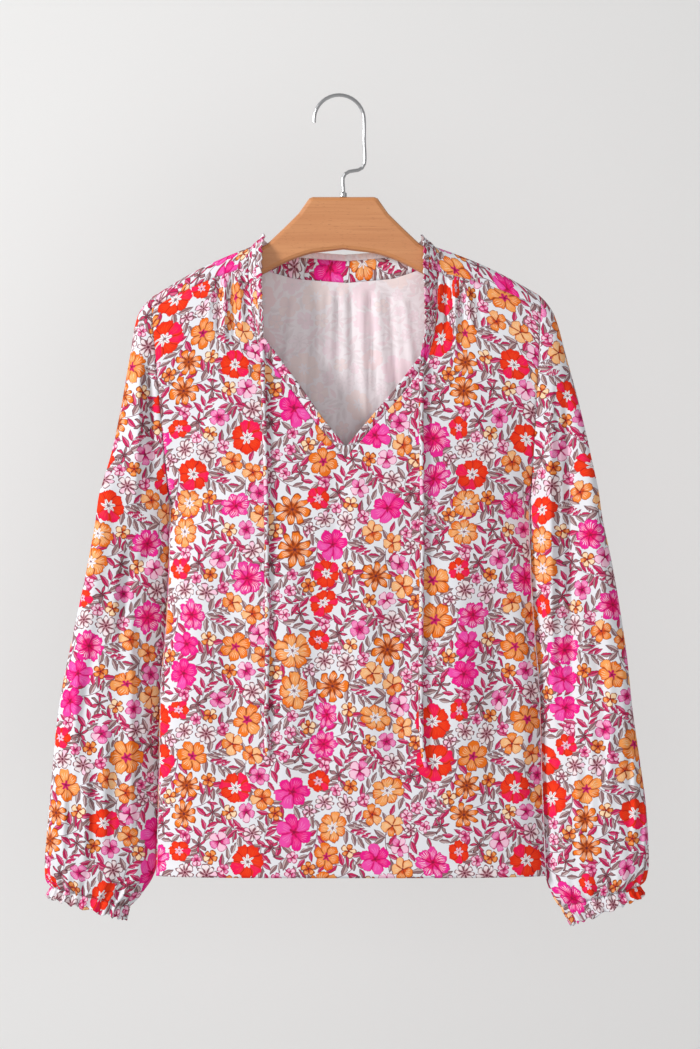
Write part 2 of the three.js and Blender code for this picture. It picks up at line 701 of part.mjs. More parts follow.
const cloth = [
  front,
  back,
  sleeveSurface("sleeve_left", sleeveLeft, true),
  sleeveSurface("sleeve_right", sleeveRight, false),
  cuffSurface("cuff_left", sleeveLeft, cuffEdgeLeft, true),
  cuffSurface("cuff_right", sleeveRight, cuffEdgeRight, false),
  strip("neckband", neck.seam, refined(neck.top, NECK_FINE), true),
  neckFrill(neck),
  strip("split_binding_left", splitSeamLeft, splitEdgeLeft, true),
  strip("split_binding_right", splitSeamRight, splitEdgeRight, false),
];
for (const surface of cloth) {
  surface.normals = ownNormals(surface);
}

const blouse = new THREE.Group();
for (const surface of cloth) {
  blouse.add(clothMesh(surface, cloth));
}
blouse.add(rod("tie_left", pointCurve(tieLeftRoute), TIE_DIAMETER / 2, TIE_STEPS, 8, WHITE_PRINT));
blouse.add(rod("tie_right", pointCurve(tieRightRoute), TIE_DIAMETER / 2, TIE_STEPS, 8, WHITE_PRINT));

const hanger = new THREE.Group();
hanger.add(board(), hook(), ferrule());

const whole = new THREE.Group();
whole.add(blouse, hanger);

export default whole;
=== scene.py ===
import math

import bpy
import numpy as np
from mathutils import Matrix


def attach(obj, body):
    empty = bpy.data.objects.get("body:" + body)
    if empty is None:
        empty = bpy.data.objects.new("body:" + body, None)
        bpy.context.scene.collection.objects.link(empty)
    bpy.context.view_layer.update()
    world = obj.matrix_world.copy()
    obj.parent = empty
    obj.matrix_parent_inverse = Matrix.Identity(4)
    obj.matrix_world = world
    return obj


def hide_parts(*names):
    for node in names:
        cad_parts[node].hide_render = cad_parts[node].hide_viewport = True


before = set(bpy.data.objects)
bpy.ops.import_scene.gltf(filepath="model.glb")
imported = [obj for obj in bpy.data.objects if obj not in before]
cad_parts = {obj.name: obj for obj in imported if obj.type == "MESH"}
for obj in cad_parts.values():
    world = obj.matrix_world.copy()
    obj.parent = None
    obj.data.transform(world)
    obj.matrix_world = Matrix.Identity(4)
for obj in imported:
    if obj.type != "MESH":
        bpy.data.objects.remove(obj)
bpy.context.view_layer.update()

MM = 0.001

# Camera: straight in front, far back, at the photo's scale of one millimetre a pixel
CAMERA_DISTANCE = 3.0
PHOTO_HEIGHT = 1.049
PHOTO_MIDDLE = (0.011, -0.4305)


def make_camera():
    data = bpy.data.cameras.new("camera")
    data.sensor_width = 36
    data.lens = 36 * CAMERA_DISTANCE / PHOTO_HEIGHT
    camera = bpy.data.objects.new("camera", data)
    bpy.context.collection.objects.link(camera)
    camera.location = (PHOTO_MIDDLE[0], -CAMERA_DISTANCE - 0.02, PHOTO_MIDDLE[1])
    camera.rotation_euler = (math.radians(90), 0, 0)
    bpy.context.scene.camera = camera


make_camera()


# Tables: the same as the solids', in millimetres
def table(columns, rows):
    rows = np.array(rows, float)
    return {name: rows[:, i] for i, name in enumerate(columns.split())}


TIE_DIAMETER = 4.6
tie_routes = {
    "tie_left": [
        (-77, -23.8, -250), (-76.6, -24.8, -258), (-76.2, -26, -270), (-75.8, -27.6, -290),
        (-75, -29, -315), (-74, -29.9, -345), (-73, -30.6, -380), (-72.4, -31, -420),
        (-72, -31.2, -460), (-71.6, -31.4, -500), (-71.4, -31.7, -540), (-71.6, -32, -575),
        (-72, -32.2, -605), (-72.6, -32.3, -630), (-72.2, -32.4, -648), (-71, -32.4, -660),
    ],
    "tie_right": [
        (83, -24.1, -268), (82.6, -24.9, -276), (82.2, -26.2, -288), (82, -27.8, -308),
        (82, -29, -332), (82.4, -30, -360), (82.8, -30.6, -395), (83, -31, -435),
        (82.6, -31.2, -475), (82, -31.5, -515), (81.6, -31.8, -555), (81.4, -32, -590),
        (81.8, -32.2, -620), (82.6, -32.4, -645), (84.4, -32.4, -662), (87.4, -32.4, -672),
    ],
}

body = table(
    "z left right front back side",
    [
        (-783, -184, 208.5, -30, 22, -9),
        (-695, -181.8, 205, -30, 21, -9),
        (-600, -180, 202, -29.5, 20.5, -9),
        (-546, -175.5, 198, -29, 20, -8),
        (-496, -172.5, 194.5, -28.5, 19.5, -7),
        (-446, -171, 192.5, -28, 19, -5),
    ],
)
SECTION = "ox oz ix iz oy iy front back"
sleeves = {
    "left": table(
        SECTION,
        [
            (-189, -202, -171, -406, 0, 3, 18, 16),
            (-203, -222, -171, -417, -1, 7, 21, 17),
            (-211, -266, -170, -431, -3, 10, 21, 17),
            (-220, -318, -169, -453, -5, 11, 21, 16),
            (-235, -392, -169, -492, -7, 11, 21, 15),
            (-252, -472, -172, -540, -8, 10, 21, 15),
            (-269, -550, -177, -596, -9, 8, 21, 15),
            (-282, -620, -178, -654, -9, 7, 22, 15),
            (-290, -706, -180, -726, -9, 7, 22, 15),
            (-294, -760, -184, -776, -8, 5, 22, 15),
            (-293, -784, -198, -800, -7, 0, 19, 14),
            (-289, -794, -210, -814, -6, -3, 15, 11),
            (-293, -804, -215, -827, -6, -4, 15, 12),
        ],
    ),
    "right": table(
        SECTION,
        [
            (203.5, -201, 192.5, -406, 0, 3, 18, 16),
            (217, -221, 192.5, -417, -1, 7, 21, 17),
            (229, -264, 191.5, -431, -3, 10, 21, 17),
            (243, -318, 190.5, -453, -5, 11, 21, 16),
            (256, -392, 191.5, -492, -7, 11, 21, 15),
            (274, -470, 194.5, -540, -8, 10, 21, 15),
            (287, -550, 199, -596, -9, 8, 21, 15),
            (295, -620, 201, -654, -9, 7, 22, 15),
            (307, -706, 203.5, -726, -9, 7, 22, 15),
            (310, -762, 207.5, -782, -8, 5, 22, 15),
            (307, -784, 215, -802, -7, 0, 19, 14),
            (302, -793, 223, -815, -6, -3, 15, 11),
            (306, -803, 234, -832, -6, -4, 15, 12),
        ],
    ),
}
SLEEVE_ROWS = 11
SLEEVE_FLATNESS = 2.4
MID_X = 6.5
front_inner = {
    "left": [
        (MID_X, -28, -412), (MID_X, -28, -404), (MID_X, -27.5, -394), (MID_X, -27, -380),
        (MID_X, -26, -364), (-24, -25, -328), (-51, -23, -291), (-82, -20, -249),
        (-85.5, -18.5, -222), (-90, -16, -197), (-91.5, -13, -172),
    ],
    "right": [
        (MID_X, -28, -412), (MID_X, -28, -404), (MID_X, -27.5, -394), (MID_X, -27, -380),
        (MID_X, -26, -364), (37, -25, -330), (62, -23, -302), (88, -20, -268),
        (95.5, -18.5, -240), (98.5, -16, -209), (98.5, -13, -177),
    ],
}
SPLIT_BOTTOM = 4
SPLIT_TOP = 7
back_inner = {
    "left": [
        (-91.5, -13, -172), (-91.5, -9, -159), (-89, 0, -151), (-86, 10.5, -159),
        (-75, 13.5, -173.5), (-45, 16, -182), (MID_X, 17, -186),
    ],
    "right": [
        (98.5, -13, -177), (99, -9, -160), (97, 0, -151), (94, 10.5, -159),
        (83, 13.5, -172.5), (54, 16, -182), (MID_X, 17, -186),
    ],
}
back_centre = [
    (MID_X, 17.5, -205), (MID_X, 18, -228), (MID_X, 18.5, -256), (MID_X, 19, -290),
    (MID_X, 19, -322), (MID_X, 19, -350), (MID_X, 19, -376), (MID_X, 19, -400),
]
neck_edges = table(
    "dx dy dz band",
    [
        (6, -3, 7.5, 0.6), (9, -8, 3, 0.6), (12.5, -10, 3, 0.6), (14, -9, 5, 0.6), (14, -6, 9, 0.6),
        (14, -1, 13, 0.62), (9, 2, 18, 0.68), (4, 1.5, 25, 0.74), (2, 1, 28, 0.77), (0, 0.5, 28.5, 0.77),
    ],
)
split_edge = {
    "left": [(7, -26.8, -353), (-17, -26.4, -323), (-43, -24.6, -286), (-76, -23, -241.5)],
    "right": [(7, -26.8, -353), (31, -26.4, -324), (56, -24.6, -295), (82, -23, -260.5)],
}

# Shape helpers
THICKNESS = 0.7
CELL = 2.7


def smooth_along(values, t):
    """Value of a column at fractional rows, on a smooth curve through the rows."""
    values = np.asarray(values, float)
    last = len(values) - 1
    i = np.clip(np.floor(t).astype(int), 0, last - 1)
    f = (t - i).reshape(t.shape + (1,) * (values.ndim - 1))
    p0, p1 = values[np.maximum(i - 1, 0)], values[i]
    p2, p3 = values[i + 1], values[np.minimum(i + 2, last)]
    h = 2 * f**3 - 3 * f**2 + 1
    return h * p1 + (1 - h) * p2 + (f**3 - 2 * f**2 + f) * (p2 - p0) / 2 + (f**3 - f**2) * (p3 - p1) / 2


def straight_along(values, t):
    values = np.asarray(values, float)
    i = np.clip(np.floor(t).astype(int), 0, len(values) - 2)
    f = (t - i).reshape(t.shape + (1,) * (values.ndim - 1))
    return values[i] * (1 - f) + values[i + 1] * f


def mix(a, b, f):
    return a + (b - a) * f


def fade(value, start, end):
    s = np.clip((value - start) / (end - start), 0, 1)
    return s * s * (3 - 2 * s)


def ring_point(section, turn):
    """Point on a flattened ring: turn 0 is the outer edge, 0.25 the front, 0.5 the inner edge."""
    angle = turn * 2 * np.pi
    c, s = np.cos(angle), np.sin(angle)
    across = 0.5 - 0.5 * np.sign(c) * np.abs(c) ** (2 / SLEEVE_FLATNESS)
    deep = np.abs(s) ** (2 / SLEEVE_FLATNESS)
    depth = np.where(s > 0, -section["front"], section["back"])
    return np.stack(
        [
            mix(section["ox"], section["ix"], across),
            mix(section["oy"], section["iy"], across) + depth * deep,
            mix(section["oz"], section["iz"], across),
        ],
        axis=-1,
    )


def even_rows(line, cell):
    """Row parameters spaced evenly in millimetres along a line of (parameter, point) samples."""
    t, points = line
    step = np.linalg.norm(np.diff(points, axis=0), axis=1)
    length = np.concatenate([[0], np.cumsum(step)])
    count = max(int(round(length[-1] / cell)), 2)
    return np.interp(np.linspace(0, length[-1], count + 1), length, t)


def roll_off(middle, edge, u):
    return edge + (middle - edge) * np.maximum(1 - u**4, 0) ** 0.7


def first_section(side):
    return {name: column[0] for name, column in sleeves[side].items()}


def front_lines(side, t):
    """Inner and outer end of each row of a half front, t counted up from the hem."""
    inner = np.concatenate(
        [np.stack([np.full(6, MID_X), body["front"], body["z"]], 1), np.array(front_inner[side], float)]
    )
    inner = straight_along(inner, t)
    low = np.stack([body[side], body["side"], body["z"]], 1)
    hole = ring_point(first_section(side), (12 - np.maximum(t - 6, 0)) / 24)
    start = ring_point(first_section(side), np.array(0.5))
    low = np.concatenate([low, start[None]])
    outer = np.where((t < 6)[:, None], smooth_along(low, np.minimum(t, 6)), hole)
    return inner, outer


def front_half(side, t, u):
    inner, outer = front_lines(side, t)
    inner, outer = inner[:, None, :], outer[:, None, :]
    t = t[:, None]
    p = mix(inner, outer, u[None, :, None])
    i = np.maximum(t - 6, 0)
    rise = i / 10
    low = np.maximum(1 - i / 4, 0)
    flat = mix(inner[..., 1], outer[..., 1], u**2) - 5 * np.sin(np.pi * u) * (1 - rise)
    p[..., 1] = mix(flat, roll_off(inner[..., 1], outer[..., 1], u), low)
    p[..., 2] += 4 * rise**3 * np.sin(np.pi * u)
    return p


def back_lines(side, t):
    """Inner and outer end of each row of a half back, t counted down from the seam before the ridge."""
    inner = np.concatenate(
        [
            np.array(back_inner[side] + back_centre, float),
            np.stack([np.full(6, MID_X), body["back"], body["z"]], 1)[::-1],
        ]
    )
    inner = straight_along(inner, t)
    hole = ring_point(first_section(side), ((2 - np.minimum(t, 14)) / 24) % 1)
    start = ring_point(first_section(side), np.array(0.5))
    low = np.stack([body[side], body["side"], body["z"]], 1)[::-1]
    low = np.concatenate([start[None], low])
    outer = np.where((t < 14)[:, None], hole, smooth_along(low, np.maximum(t - 14, 0)))
    return inner, outer


def back_half(side, t, u):
    inner, outer = back_lines(side, t)
    inner, outer = inner[:, None, :], outer[:, None, :]
    t = t[:, None]
    p = mix(inner, outer, u[None, :, None])
    share = np.minimum(t / 14, 1)
    low = np.clip(1 - (14 - t) / 4, 0, 1)
    power = mix(2, 4, np.clip(t, 0, 1))
    flat = mix(inner[..., 1], outer[..., 1], u**power)
    flat = flat + 3 * np.sin(np.pi * u) * np.maximum(share - 0.3, 0)
    p[..., 1] = mix(flat, roll_off(inner[..., 1], outer[..., 1], u), low)
    p[..., 2] += 4 * np.clip(1.8 - t / 4, 0, 1) * np.sin(np.pi * u)
    return p


def panel(half, rows):
    """Both halves of a front or back as one grid each, with the middle column shared where they meet."""
    line_t = np.linspace(0, rows, 400)
    middle = (half("left", line_t, np.array([0.6]))[:, 0], half("right", line_t, np.array([0.6]))[:, 0])
    t = even_rows((line_t, (middle[0] + middle[1]) / 2), CELL)
    u = np.linspace(0, 1, int(round(190 / CELL)) + 1)
    return t, u, half("left", t, u), half("right", t, u)


def grid_faces(rows, columns, start=0, closed=False):
    i, j = np.meshgrid(np.arange(rows - 1), np.arange(columns - (0 if closed else 1)), indexing="ij")
    i, j = i.ravel(), j.ravel()
    k = (j + 1) % columns
    row, next_row = i * columns, (i + 1) * columns
    return start + np.stack([row + j, row + k, next_row + k, next_row + j], 1)


def flat_across(p, reference):
    """Width along each row, so that what curves away keeps its print, starting from the row's own place."""
    step = np.hypot(np.diff(p[..., 0], axis=1), np.diff(p[..., 1], axis=1))
    length = np.concatenate([np.zeros((len(p), 1)), np.cumsum(step, axis=1)], axis=1)
    return np.abs(p[:, :1, 0] - reference) + length


def flat_up(p):
    step = np.hypot(np.diff(p[..., 1], axis=0), np.diff(p[..., 2], axis=0))
    return np.concatenate([np.zeros((1, p.shape[1])), np.cumsum(step, axis=0)], axis=0)


def weld(points, faces):
    """Points that coincide become one, and faces follow."""
    keys = np.round(points * 100).astype(np.int64)
    _, first, inverse = np.unique(keys, axis=0, return_index=True, return_inverse=True)
    return points[first], inverse.ravel()[faces], first


def vertex_normals(points, faces):
    a, b, c, d = (points[faces[:, k]] for k in range(4))
    face = np.cross(c - a, d - b)
    normals = np.zeros_like(points)
    for k in range(4):
        np.add.at(normals, faces[:, k], face)
    return normals / np.maximum(np.linalg.norm(normals, axis=1, keepdims=True), 1e-9)


def shell(name, grid, flats, faces, heights, thickness=THICKNESS, folded=False):
    """A closed sheet of cloth: the outside raised by the folds, the inside one thickness further in,
    and the cut edges between them. A folded strip shows its printed side on both."""
    points, joined, first = weld(grid, faces)
    outward = vertex_normals(points, joined)
    points = points + outward * heights(points, outward, first)[:, None]
    normals = vertex_normals(points, joined)
    count = len(points)
    whole = np.concatenate([points, points - normals * thickness])
    edges = np.concatenate([joined[:, [k, (k + 1) % 4]] for k in range(4)])
    _, index, uses = np.unique(np.sort(edges, axis=1), axis=0, return_index=True, return_counts=True)
    rim = edges[index[uses == 1]]
    rim_faces = np.stack([rim[:, 1], rim[:, 0], rim[:, 0] + count, rim[:, 1] + count], 1)
    all_faces = np.concatenate([joined, joined[:, ::-1] + count, rim_faces])
    corners = np.concatenate([flats[faces], flats[faces][:, ::-1], flats[first][rim_faces % count]])
    mesh = bpy.data.meshes.new(name)
    mesh.from_pydata((whole * MM).tolist(), [], all_faces.tolist())
    mesh.polygons.foreach_set("use_smooth", np.ones(len(all_faces), bool))
    kinds = np.zeros(len(all_faces), int)
    kinds[len(faces) : 2 * len(faces)] = 0 if folded else 1
    for material in cloth:
        mesh.materials.append(material)
    mesh.polygons.foreach_set("material_index", kinds)
    print_on(mesh, corners)
    mesh.update()
    piece = bpy.data.objects.new(name, mesh)
    bpy.context.collection.objects.link(piece)
    return piece


def plain(name, colour, roughness=0.8, metallic=0.0):
    material = bpy.data.materials.new(name)
    material.use_nodes = True
    shader = material.node_tree.nodes["Principled BSDF"]
    shader.inputs["Base Color"].default_value = (*colour, 1)
    shader.inputs["Roughness"].default_value = roughness
    shader.inputs["Metallic"].default_value = metallic
    return material


# Print: one repeat of the pattern, charted. Each row is a motif, its place in the
# repeat, its size and the angle it is turned by. The next column of repeats drops by half.
REPEAT_WIDTH = 140
REPEAT_DROP = 70.5
REPEAT_HEIGHT = 141
chart = [
    ("red", 89, 116, 37, 325), ("small_red", 113, 26, 23, 3), ("open_orange", 42, 87, 34, 298),
    ("pink_heart", 127, 121, 32, 113), ("daisy", 118, 63, 30, 84), ("daisy", 121, 92, 28, 327),
    ("peach", 27, 63, 23, 175), ("peach", 47, 52, 22, 183), ("peach", 57, 9, 24, 185),
    ("magenta", 87, 15, 36, 238), ("rose", 30, 19, 31, 246), ("white", 1, 73, 22, 210),
    ("white", 119, 5, 20, 59), ("white", 47, 115, 21, 72), ("pink", 14, 107, 21, 208),
    ("pink", 41, 136, 20, 128), ("pink", 54, 31, 21, 202), ("tiny_pink", 87, 91, 12, 222),
    ("tiny_pink", 18, 79, 12, 29), ("tiny_pink", 79, 51, 12, 61), ("tiny_pink", 71, 70, 12, 282),
    ("tiny_pink", 131, 17, 12, 226), ("tiny_pink", 119, 42, 12, 34), ("tiny_pink", 85, 75, 12, 180),
    ("tiny_pink", 61, 62, 12, 174), ("tiny_orange", 5, 91, 15, 51), ("tiny_orange", 3, 27, 15, 144),
    ("tiny_orange", 103, 80, 15, 160), ("tiny_orange", 24, 136, 15, 114),
    ("tiny_orange", 70, 135, 15, 271), ("tiny_white", 65, 48, 14, 334), ("tiny_white", 104, 137, 14, 291),
    ("trefoil", 95, 52, 19, 277), ("trefoil", 66, 101, 19, 336), ("trefoil", 133, 33, 19, 29),
    ("trefoil", 7, 136, 19, 197),
]

# Sprays of leaves: root of the stem, its length, direction and bend, the number of leaves on
# alternate sides of it, and how many in seven of them are crimson
fans = [
    (139, 121, 25, 335, -0.2, 8, 3), (138, 34, 20, 75, 0.2, 6, 5), (70, 50, 26, 330, -0.2, 5, 2),
    (127, 70, 26, 30, -0.2, 5, 4), (40, 119, 23, 165, 0.2, 6, 6), (90, 94, 20, 210, -0.2, 5, 1),
    (103, 66, 27, 185, 0.2, 5, 3), (59, 109, 20, 65, 0.2, 6, 5), (7, 75, 27, 45, -0.2, 5, 2),
    (112, 123, 35, 250, 0.2, 8, 4), (85, 2, 28, 330, 0.2, 6, 1), (130, 48, 22, 195, 0.2, 5, 6),
    (44, 28, 34, 90, 0.2, 5, 3), (139, 121, 21, 20, 0.2, 7, 2), (57, 105, 29, 275, -0.2, 6, 5),
    (70, 46, 27, 255, -0.2, 5, 4), (136, 35, 22, 240, 0.2, 6, 1), (81, 10, 28, 220, 0.2, 6, 3),
    (1, 10, 26, 175, -0.2, 5, 6), (138, 96, 22, 315, 0.2, 5, 2), (27, 126, 21, 305, -0.2, 7, 4),
    (81, 109, 25, 195, 0.2, 6, 5), (40, 45, 32, 285, -0.2, 6, 1), (110, 70, 21, 170, 0.2, 7, 3),
    (45, 54, 22, 5, 0.2, 5, 4),
]
STEM_BEND = 0.2


def leaves_of(fan):
    """Leaves of one spray, each with the layer it is printed in, so that neighbours lie in different ones."""
    x, y, length, turn, bend, count, crimson = fan
    a = math.radians(turn)
    leaves = []
    for k in range(count):
        share = 0.12 + 0.88 * k / (count - 1)
        s = 2 * share - 1
        bulge = bend * (1 - s * s) * length / 2
        foot_x = x + math.cos(a) * share * length - math.sin(a) * bulge
        foot_y = y + math.sin(a) * share * length + math.cos(a) * bulge
        side = 0 if k == count - 1 else 1 if k % 2 else -1
        size = 15.5 - 4 * share + (0, 1.5, -1)[k % 3]
        lean = a + math.atan(-2 * s * bend) + side * math.radians(54 - 22 * share)
        kind = "crimson" if (k * 3 + x) % 7 < crimson else "taupe" if (k + y) % 4 else "mixed"
        middle = (foot_x + math.cos(lean) * size * 0.53, foot_y + math.sin(lean) * size * 0.53)
        leaves.append((("leaf_right", "leaf_left")[k % 2], (kind, *middle, size, math.degrees(lean))))
    return leaves


def stem_of(fan):
    x, y, length, turn, bend, _, _ = fan
    a = math.radians(turn)
    kind = "stem_left" if bend > 0 else "stem_right"
    return (kind, x + math.cos(a) * length / 2, y + math.sin(a) * length / 2, length, turn)


# Flowers: petals, how deep the cuts between them go, how ragged the edge is, strength of the light
# streaks, width of the drawn edge, size of the heart, its points, the share of odd petals and how
# round a petal's tip is. Then the colours: near the heart, at the tip, of the odd petals, the
# streaks, the drawn lines, the heart and the lines in it.
RED, ORANGE, CREAM = (236, 44, 12), (238, 116, 26), (252, 218, 176)
PINK, ROSE, PALE = (238, 18, 116), (238, 60, 156), (248, 200, 220)
MAROON, BROWN, WHITE = (112, 24, 48), (142, 54, 22), (242, 236, 238)
CRIMSON, TAUPE, DARK = (196, 32, 82), (150, 112, 114), (84, 36, 50)
blooms = {
    "red": [(7, 0.86, 0.12, 0.25, 0.035, 0.42, 7, 0.3, 2.2), (242, 54, 16), RED, (245, 14, 84),
            (250, 110, 44), (176, 24, 20), WHITE, MAROON],
    "small_red": [(6, 0.82, 0.12, 0.2, 0.04, 0.42, 6, 0.25, 2.2), (242, 54, 16), RED, (245, 14, 84),
                  (250, 110, 44), (176, 24, 20), PALE, MAROON],
    "open_orange": [(7, 0.8, 0.12, 0.75, 0.05, 0.42, 7, 0.15, 2.6), (248, 168, 98), ORANGE, (247, 158, 84),
                    CREAM, BROWN, WHITE, MAROON],
    "pink_heart": [(6, 0.74, 0.12, 0.7, 0.05, 0.32, 5, 0.15, 2.4), (246, 150, 76), ORANGE, (247, 158, 84),
                   CREAM, BROWN, (214, 26, 104), MAROON],
    "daisy": [(8, 0.46, 0.06, 0.95, 0.08, 0.2, 6, 0.1, 3), (206, 90, 22), (240, 120, 28), ORANGE,
              (254, 226, 190), (134, 50, 18), (184, 74, 24), DARK],
    "peach": [(5, 0.64, 0.1, 0.8, 0.06, 0.15, 5, 0.3, 3), (216, 76, 26), (243, 134, 54), (249, 186, 128),
              CREAM, BROWN, (180, 48, 40), MAROON],
    "magenta": [(7, 0.74, 0.16, 0.95, 0.04, 0.3, 7, 0.15, 1.9), PINK, (236, 36, 146), ROSE, (255, 222, 238),
                (182, 12, 92), (220, 10, 80), (138, 10, 62)],
    "rose": [(6, 0.72, 0.12, 0.5, 0.035, 0.26, 5, 0.3, 3), (244, 20, 124), (238, 20, 136), (242, 76, 170),
             (250, 150, 206), (188, 14, 100), (216, 10, 84), (138, 10, 62)],
    "white": [(8, 0.6, 0.07, 0.3, 0.1, 0.22, 8, 0.1, 3), (222, 172, 182), (241, 226, 228), PALE, WHITE,
              MAROON, (140, 48, 70), DARK],
    "pink": [(5, 0.62, 0.08, 0.7, 0.07, 0.24, 5, 0.2, 3), (214, 28, 116), (240, 128, 186), PALE, PALE,
             (176, 30, 98), (162, 16, 76), MAROON],
    "tiny_pink": [(5, 0.52, 0.06, 0.4, 0.14, 0.26, 5, 0.3, 3), (208, 38, 110), (242, 152, 192), PALE, PALE,
                  (186, 48, 104), (152, 18, 70), MAROON],
    "tiny_orange": [(5, 0.52, 0.06, 0.5, 0.12, 0.26, 5, 0.2, 3), (224, 96, 26), (243, 140, 50), CREAM, CREAM,
                    BROWN, (146, 34, 40), MAROON],
    "tiny_white": [(6, 0.6, 0.06, 0.2, 0.14, 0.26, 6, 0.2, 3), (220, 164, 180), WHITE, PALE, WHITE,
                   MAROON, (146, 48, 78), MAROON],
    "trefoil": [(6, 0.1, 0.04, 0.3, 0.12, 0.06, 3, 0.4, 1.2), CRIMSON, (204, 46, 94), TAUPE, (232, 140, 166),
                DARK, CRIMSON, DARK],
}
leaf_colours = {
    "crimson": [(204, 34, 90), (222, 96, 136), (108, 22, 56)],
    "taupe": [(150, 112, 114), (198, 172, 172), (84, 38, 54)],
    "mixed": [(200, 40, 94), (164, 128, 130), (92, 32, 54)],
}
layers = {
    "large": [
        "red", "small_red", "open_orange", "pink_heart", "daisy", "peach", "magenta", "rose", "white", "pink",
    ],
    "small": ["tiny_pink", "tiny_orange", "tiny_white", "trefoil"],
    "leaf_left": list(leaf_colours),
    "leaf_right": list(leaf_colours),
    "stem": ["stem_left", "stem_right"],
}
motifs = {layer: [row for row in chart if row[0] in kinds] for layer, kinds in layers.items()}
for fan in fans:
    motifs["stem"].append(stem_of(fan))
    for layer, leaf in leaves_of(fan):
        motifs[layer].append(leaf)
FAR = 3.4
STEP = 8
TURN_STEP = 137
trades = [0, 2, 3, 4, 6, 7]  # large flowers of one size, which trade places from one repeat to the next


def place_motifs(corners, layer):
    """For each corner of each face, its place within the nearest motif, in units of the motif's
    radius. The kind and a seed are added as whole steps, for the shader to take off again."""
    rows, kinds = motifs[layer], layers[layer]
    slender = layer not in ("large", "small")
    centre = corners.mean(axis=1)
    best = np.full(len(corners), 1e9)
    pick = np.zeros(len(corners), int)
    for number, (_, x, y, size, turn) in enumerate(rows):
        d = centre - nearest_repeat(centre, x, y)[2]
        if slender:
            a = math.radians(turn)
            along = np.abs(d[:, 0] * math.cos(a) + d[:, 1] * math.sin(a))
            beside = d[:, 1] * math.cos(a) - d[:, 0] * math.sin(a)
            distance = np.hypot(np.maximum(along - 0.4 * size, 0), beside) - 0.15 * size
        else:
            distance = np.hypot(d[:, 0], d[:, 1]) - size / 2
        pick = np.where(distance < best, number, pick)
        best = np.minimum(best, distance)
    x, y, size, turn = (np.array([row[i] for row in rows], float)[pick] for i in range(1, 5))
    names = np.array([kinds.index(row[0]) for row in rows])[pick]
    column, line, origin = nearest_repeat(centre, x, y)
    seed = (pick * 3 + column * 5 + line * 3) % 7
    if layer == "large":
        order = np.array(trades)
        swap = order[(np.searchsorted(order, names) + column + 2 * line).astype(int) % len(order)]
        names = np.where(np.isin(names, trades), swap, names)
    a = np.radians(turn if slender else turn + TURN_STEP * column)[:, None]
    local = (corners - origin[:, None]) / (size / 2)[:, None, None]
    oval = (1 + 0.04 * seed)[:, None] if layer == "large" else 1
    across = (local[..., 0] * np.cos(a) + local[..., 1] * np.sin(a)) * oval
    up = local[..., 1] * np.cos(a) - local[..., 0] * np.sin(a)
    far = np.maximum(np.abs(across), np.abs(up)).max(axis=1)[:, None] > FAR
    across = np.where(far, FAR, across + names[:, None] * STEP)
    up = np.where(far, FAR, up + seed[:, None] * STEP)
    return np.stack([across, up], -1)


def nearest_repeat(centre, x, y):
    """Column, line and place of the copy of a motif that lies nearest."""
    column = np.round((centre[:, 0] - x) / REPEAT_WIDTH)
    line = np.round((centre[:, 1] - y - column * REPEAT_DROP) / REPEAT_HEIGHT)
    place = np.stack([x + column * REPEAT_WIDTH, y + column * REPEAT_DROP + line * REPEAT_HEIGHT], 1)
    return column, line, place


def print_on(mesh, corners):
    """Print maps for a mesh of quads, from the flat place of each corner of each face."""
    for name in layers:
        layer = mesh.uv_layers.new(name=name)
        layer.data.foreach_set("uv", place_motifs(corners, name).ravel())


class Flow:
    """A number in a material's node tree, which can be reckoned with like any other. The tree is the one
    being made, and blur widens each drawn edge."""

    tree = None
    blur = 1.0

    def __init__(self, socket):
        self.socket = socket

    @staticmethod
    def make(operation, *values, clamp=False):
        made = Flow.tree.nodes.new("ShaderNodeMath")
        made.operation = operation
        made.use_clamp = clamp
        for slot, value in zip(made.inputs, values):
            if isinstance(value, Flow):
                Flow.tree.links.new(value.socket, slot)
            else:
                slot.default_value = value
        return Flow(made.outputs[0])

    def __add__(self, other):
        return Flow.make("ADD", self, other)

    def __radd__(self, other):
        return Flow.make("ADD", other, self)

    def __sub__(self, other):
        return Flow.make("SUBTRACT", self, other)

    def __rsub__(self, other):
        return Flow.make("SUBTRACT", other, self)

    def __mul__(self, other):
        return Flow.make("MULTIPLY", self, other)

    def __rmul__(self, other):
        return Flow.make("MULTIPLY", other, self)

    def __truediv__(self, other):
        return Flow.make("DIVIDE", self, other)

    def __pow__(self, other):
        return Flow.make("POWER", self, other)

    def __abs__(self):
        return Flow.make("ABSOLUTE", self)


def below(value, limit, soft):
    """1 where value is below limit, 0 above it, over a soft edge."""
    return Flow.make("MULTIPLY", limit - value, 1 / (soft * Flow.blur), clamp=True)


def hashed(value):
    return Flow.make("FRACT", Flow.make("SINE", value * 12.9898) * 437.585)


def colour_node(kind, **settings):
    made = Flow.tree.nodes.new(kind)
    for name, value in settings.items():
        setattr(made, name, value)
    return made


def srgb(colour):
    return tuple(((c / 255 + 0.055) / 1.055) ** 2.4 if c > 10 else c / 255 / 12.92 for c in colour) + (1,)


def paint(under, over, amount):
    """Colour over laid on colour under by an amount from 0 to 1."""
    made = colour_node("ShaderNodeMix", data_type="RGBA")
    for slot, value in ((made.inputs[0], amount), (made.inputs[6], under), (made.inputs[7], over)):
        if isinstance(value, Flow):
            Flow.tree.links.new(value.socket, slot)
        elif isinstance(value, tuple):
            slot.default_value = srgb(value)
        elif isinstance(value, float):
            slot.default_value = value
        else:
            Flow.tree.links.new(value, slot)
    return made.outputs[2]


RAMP_STEPS = 16
NUMBER_TOP = 16


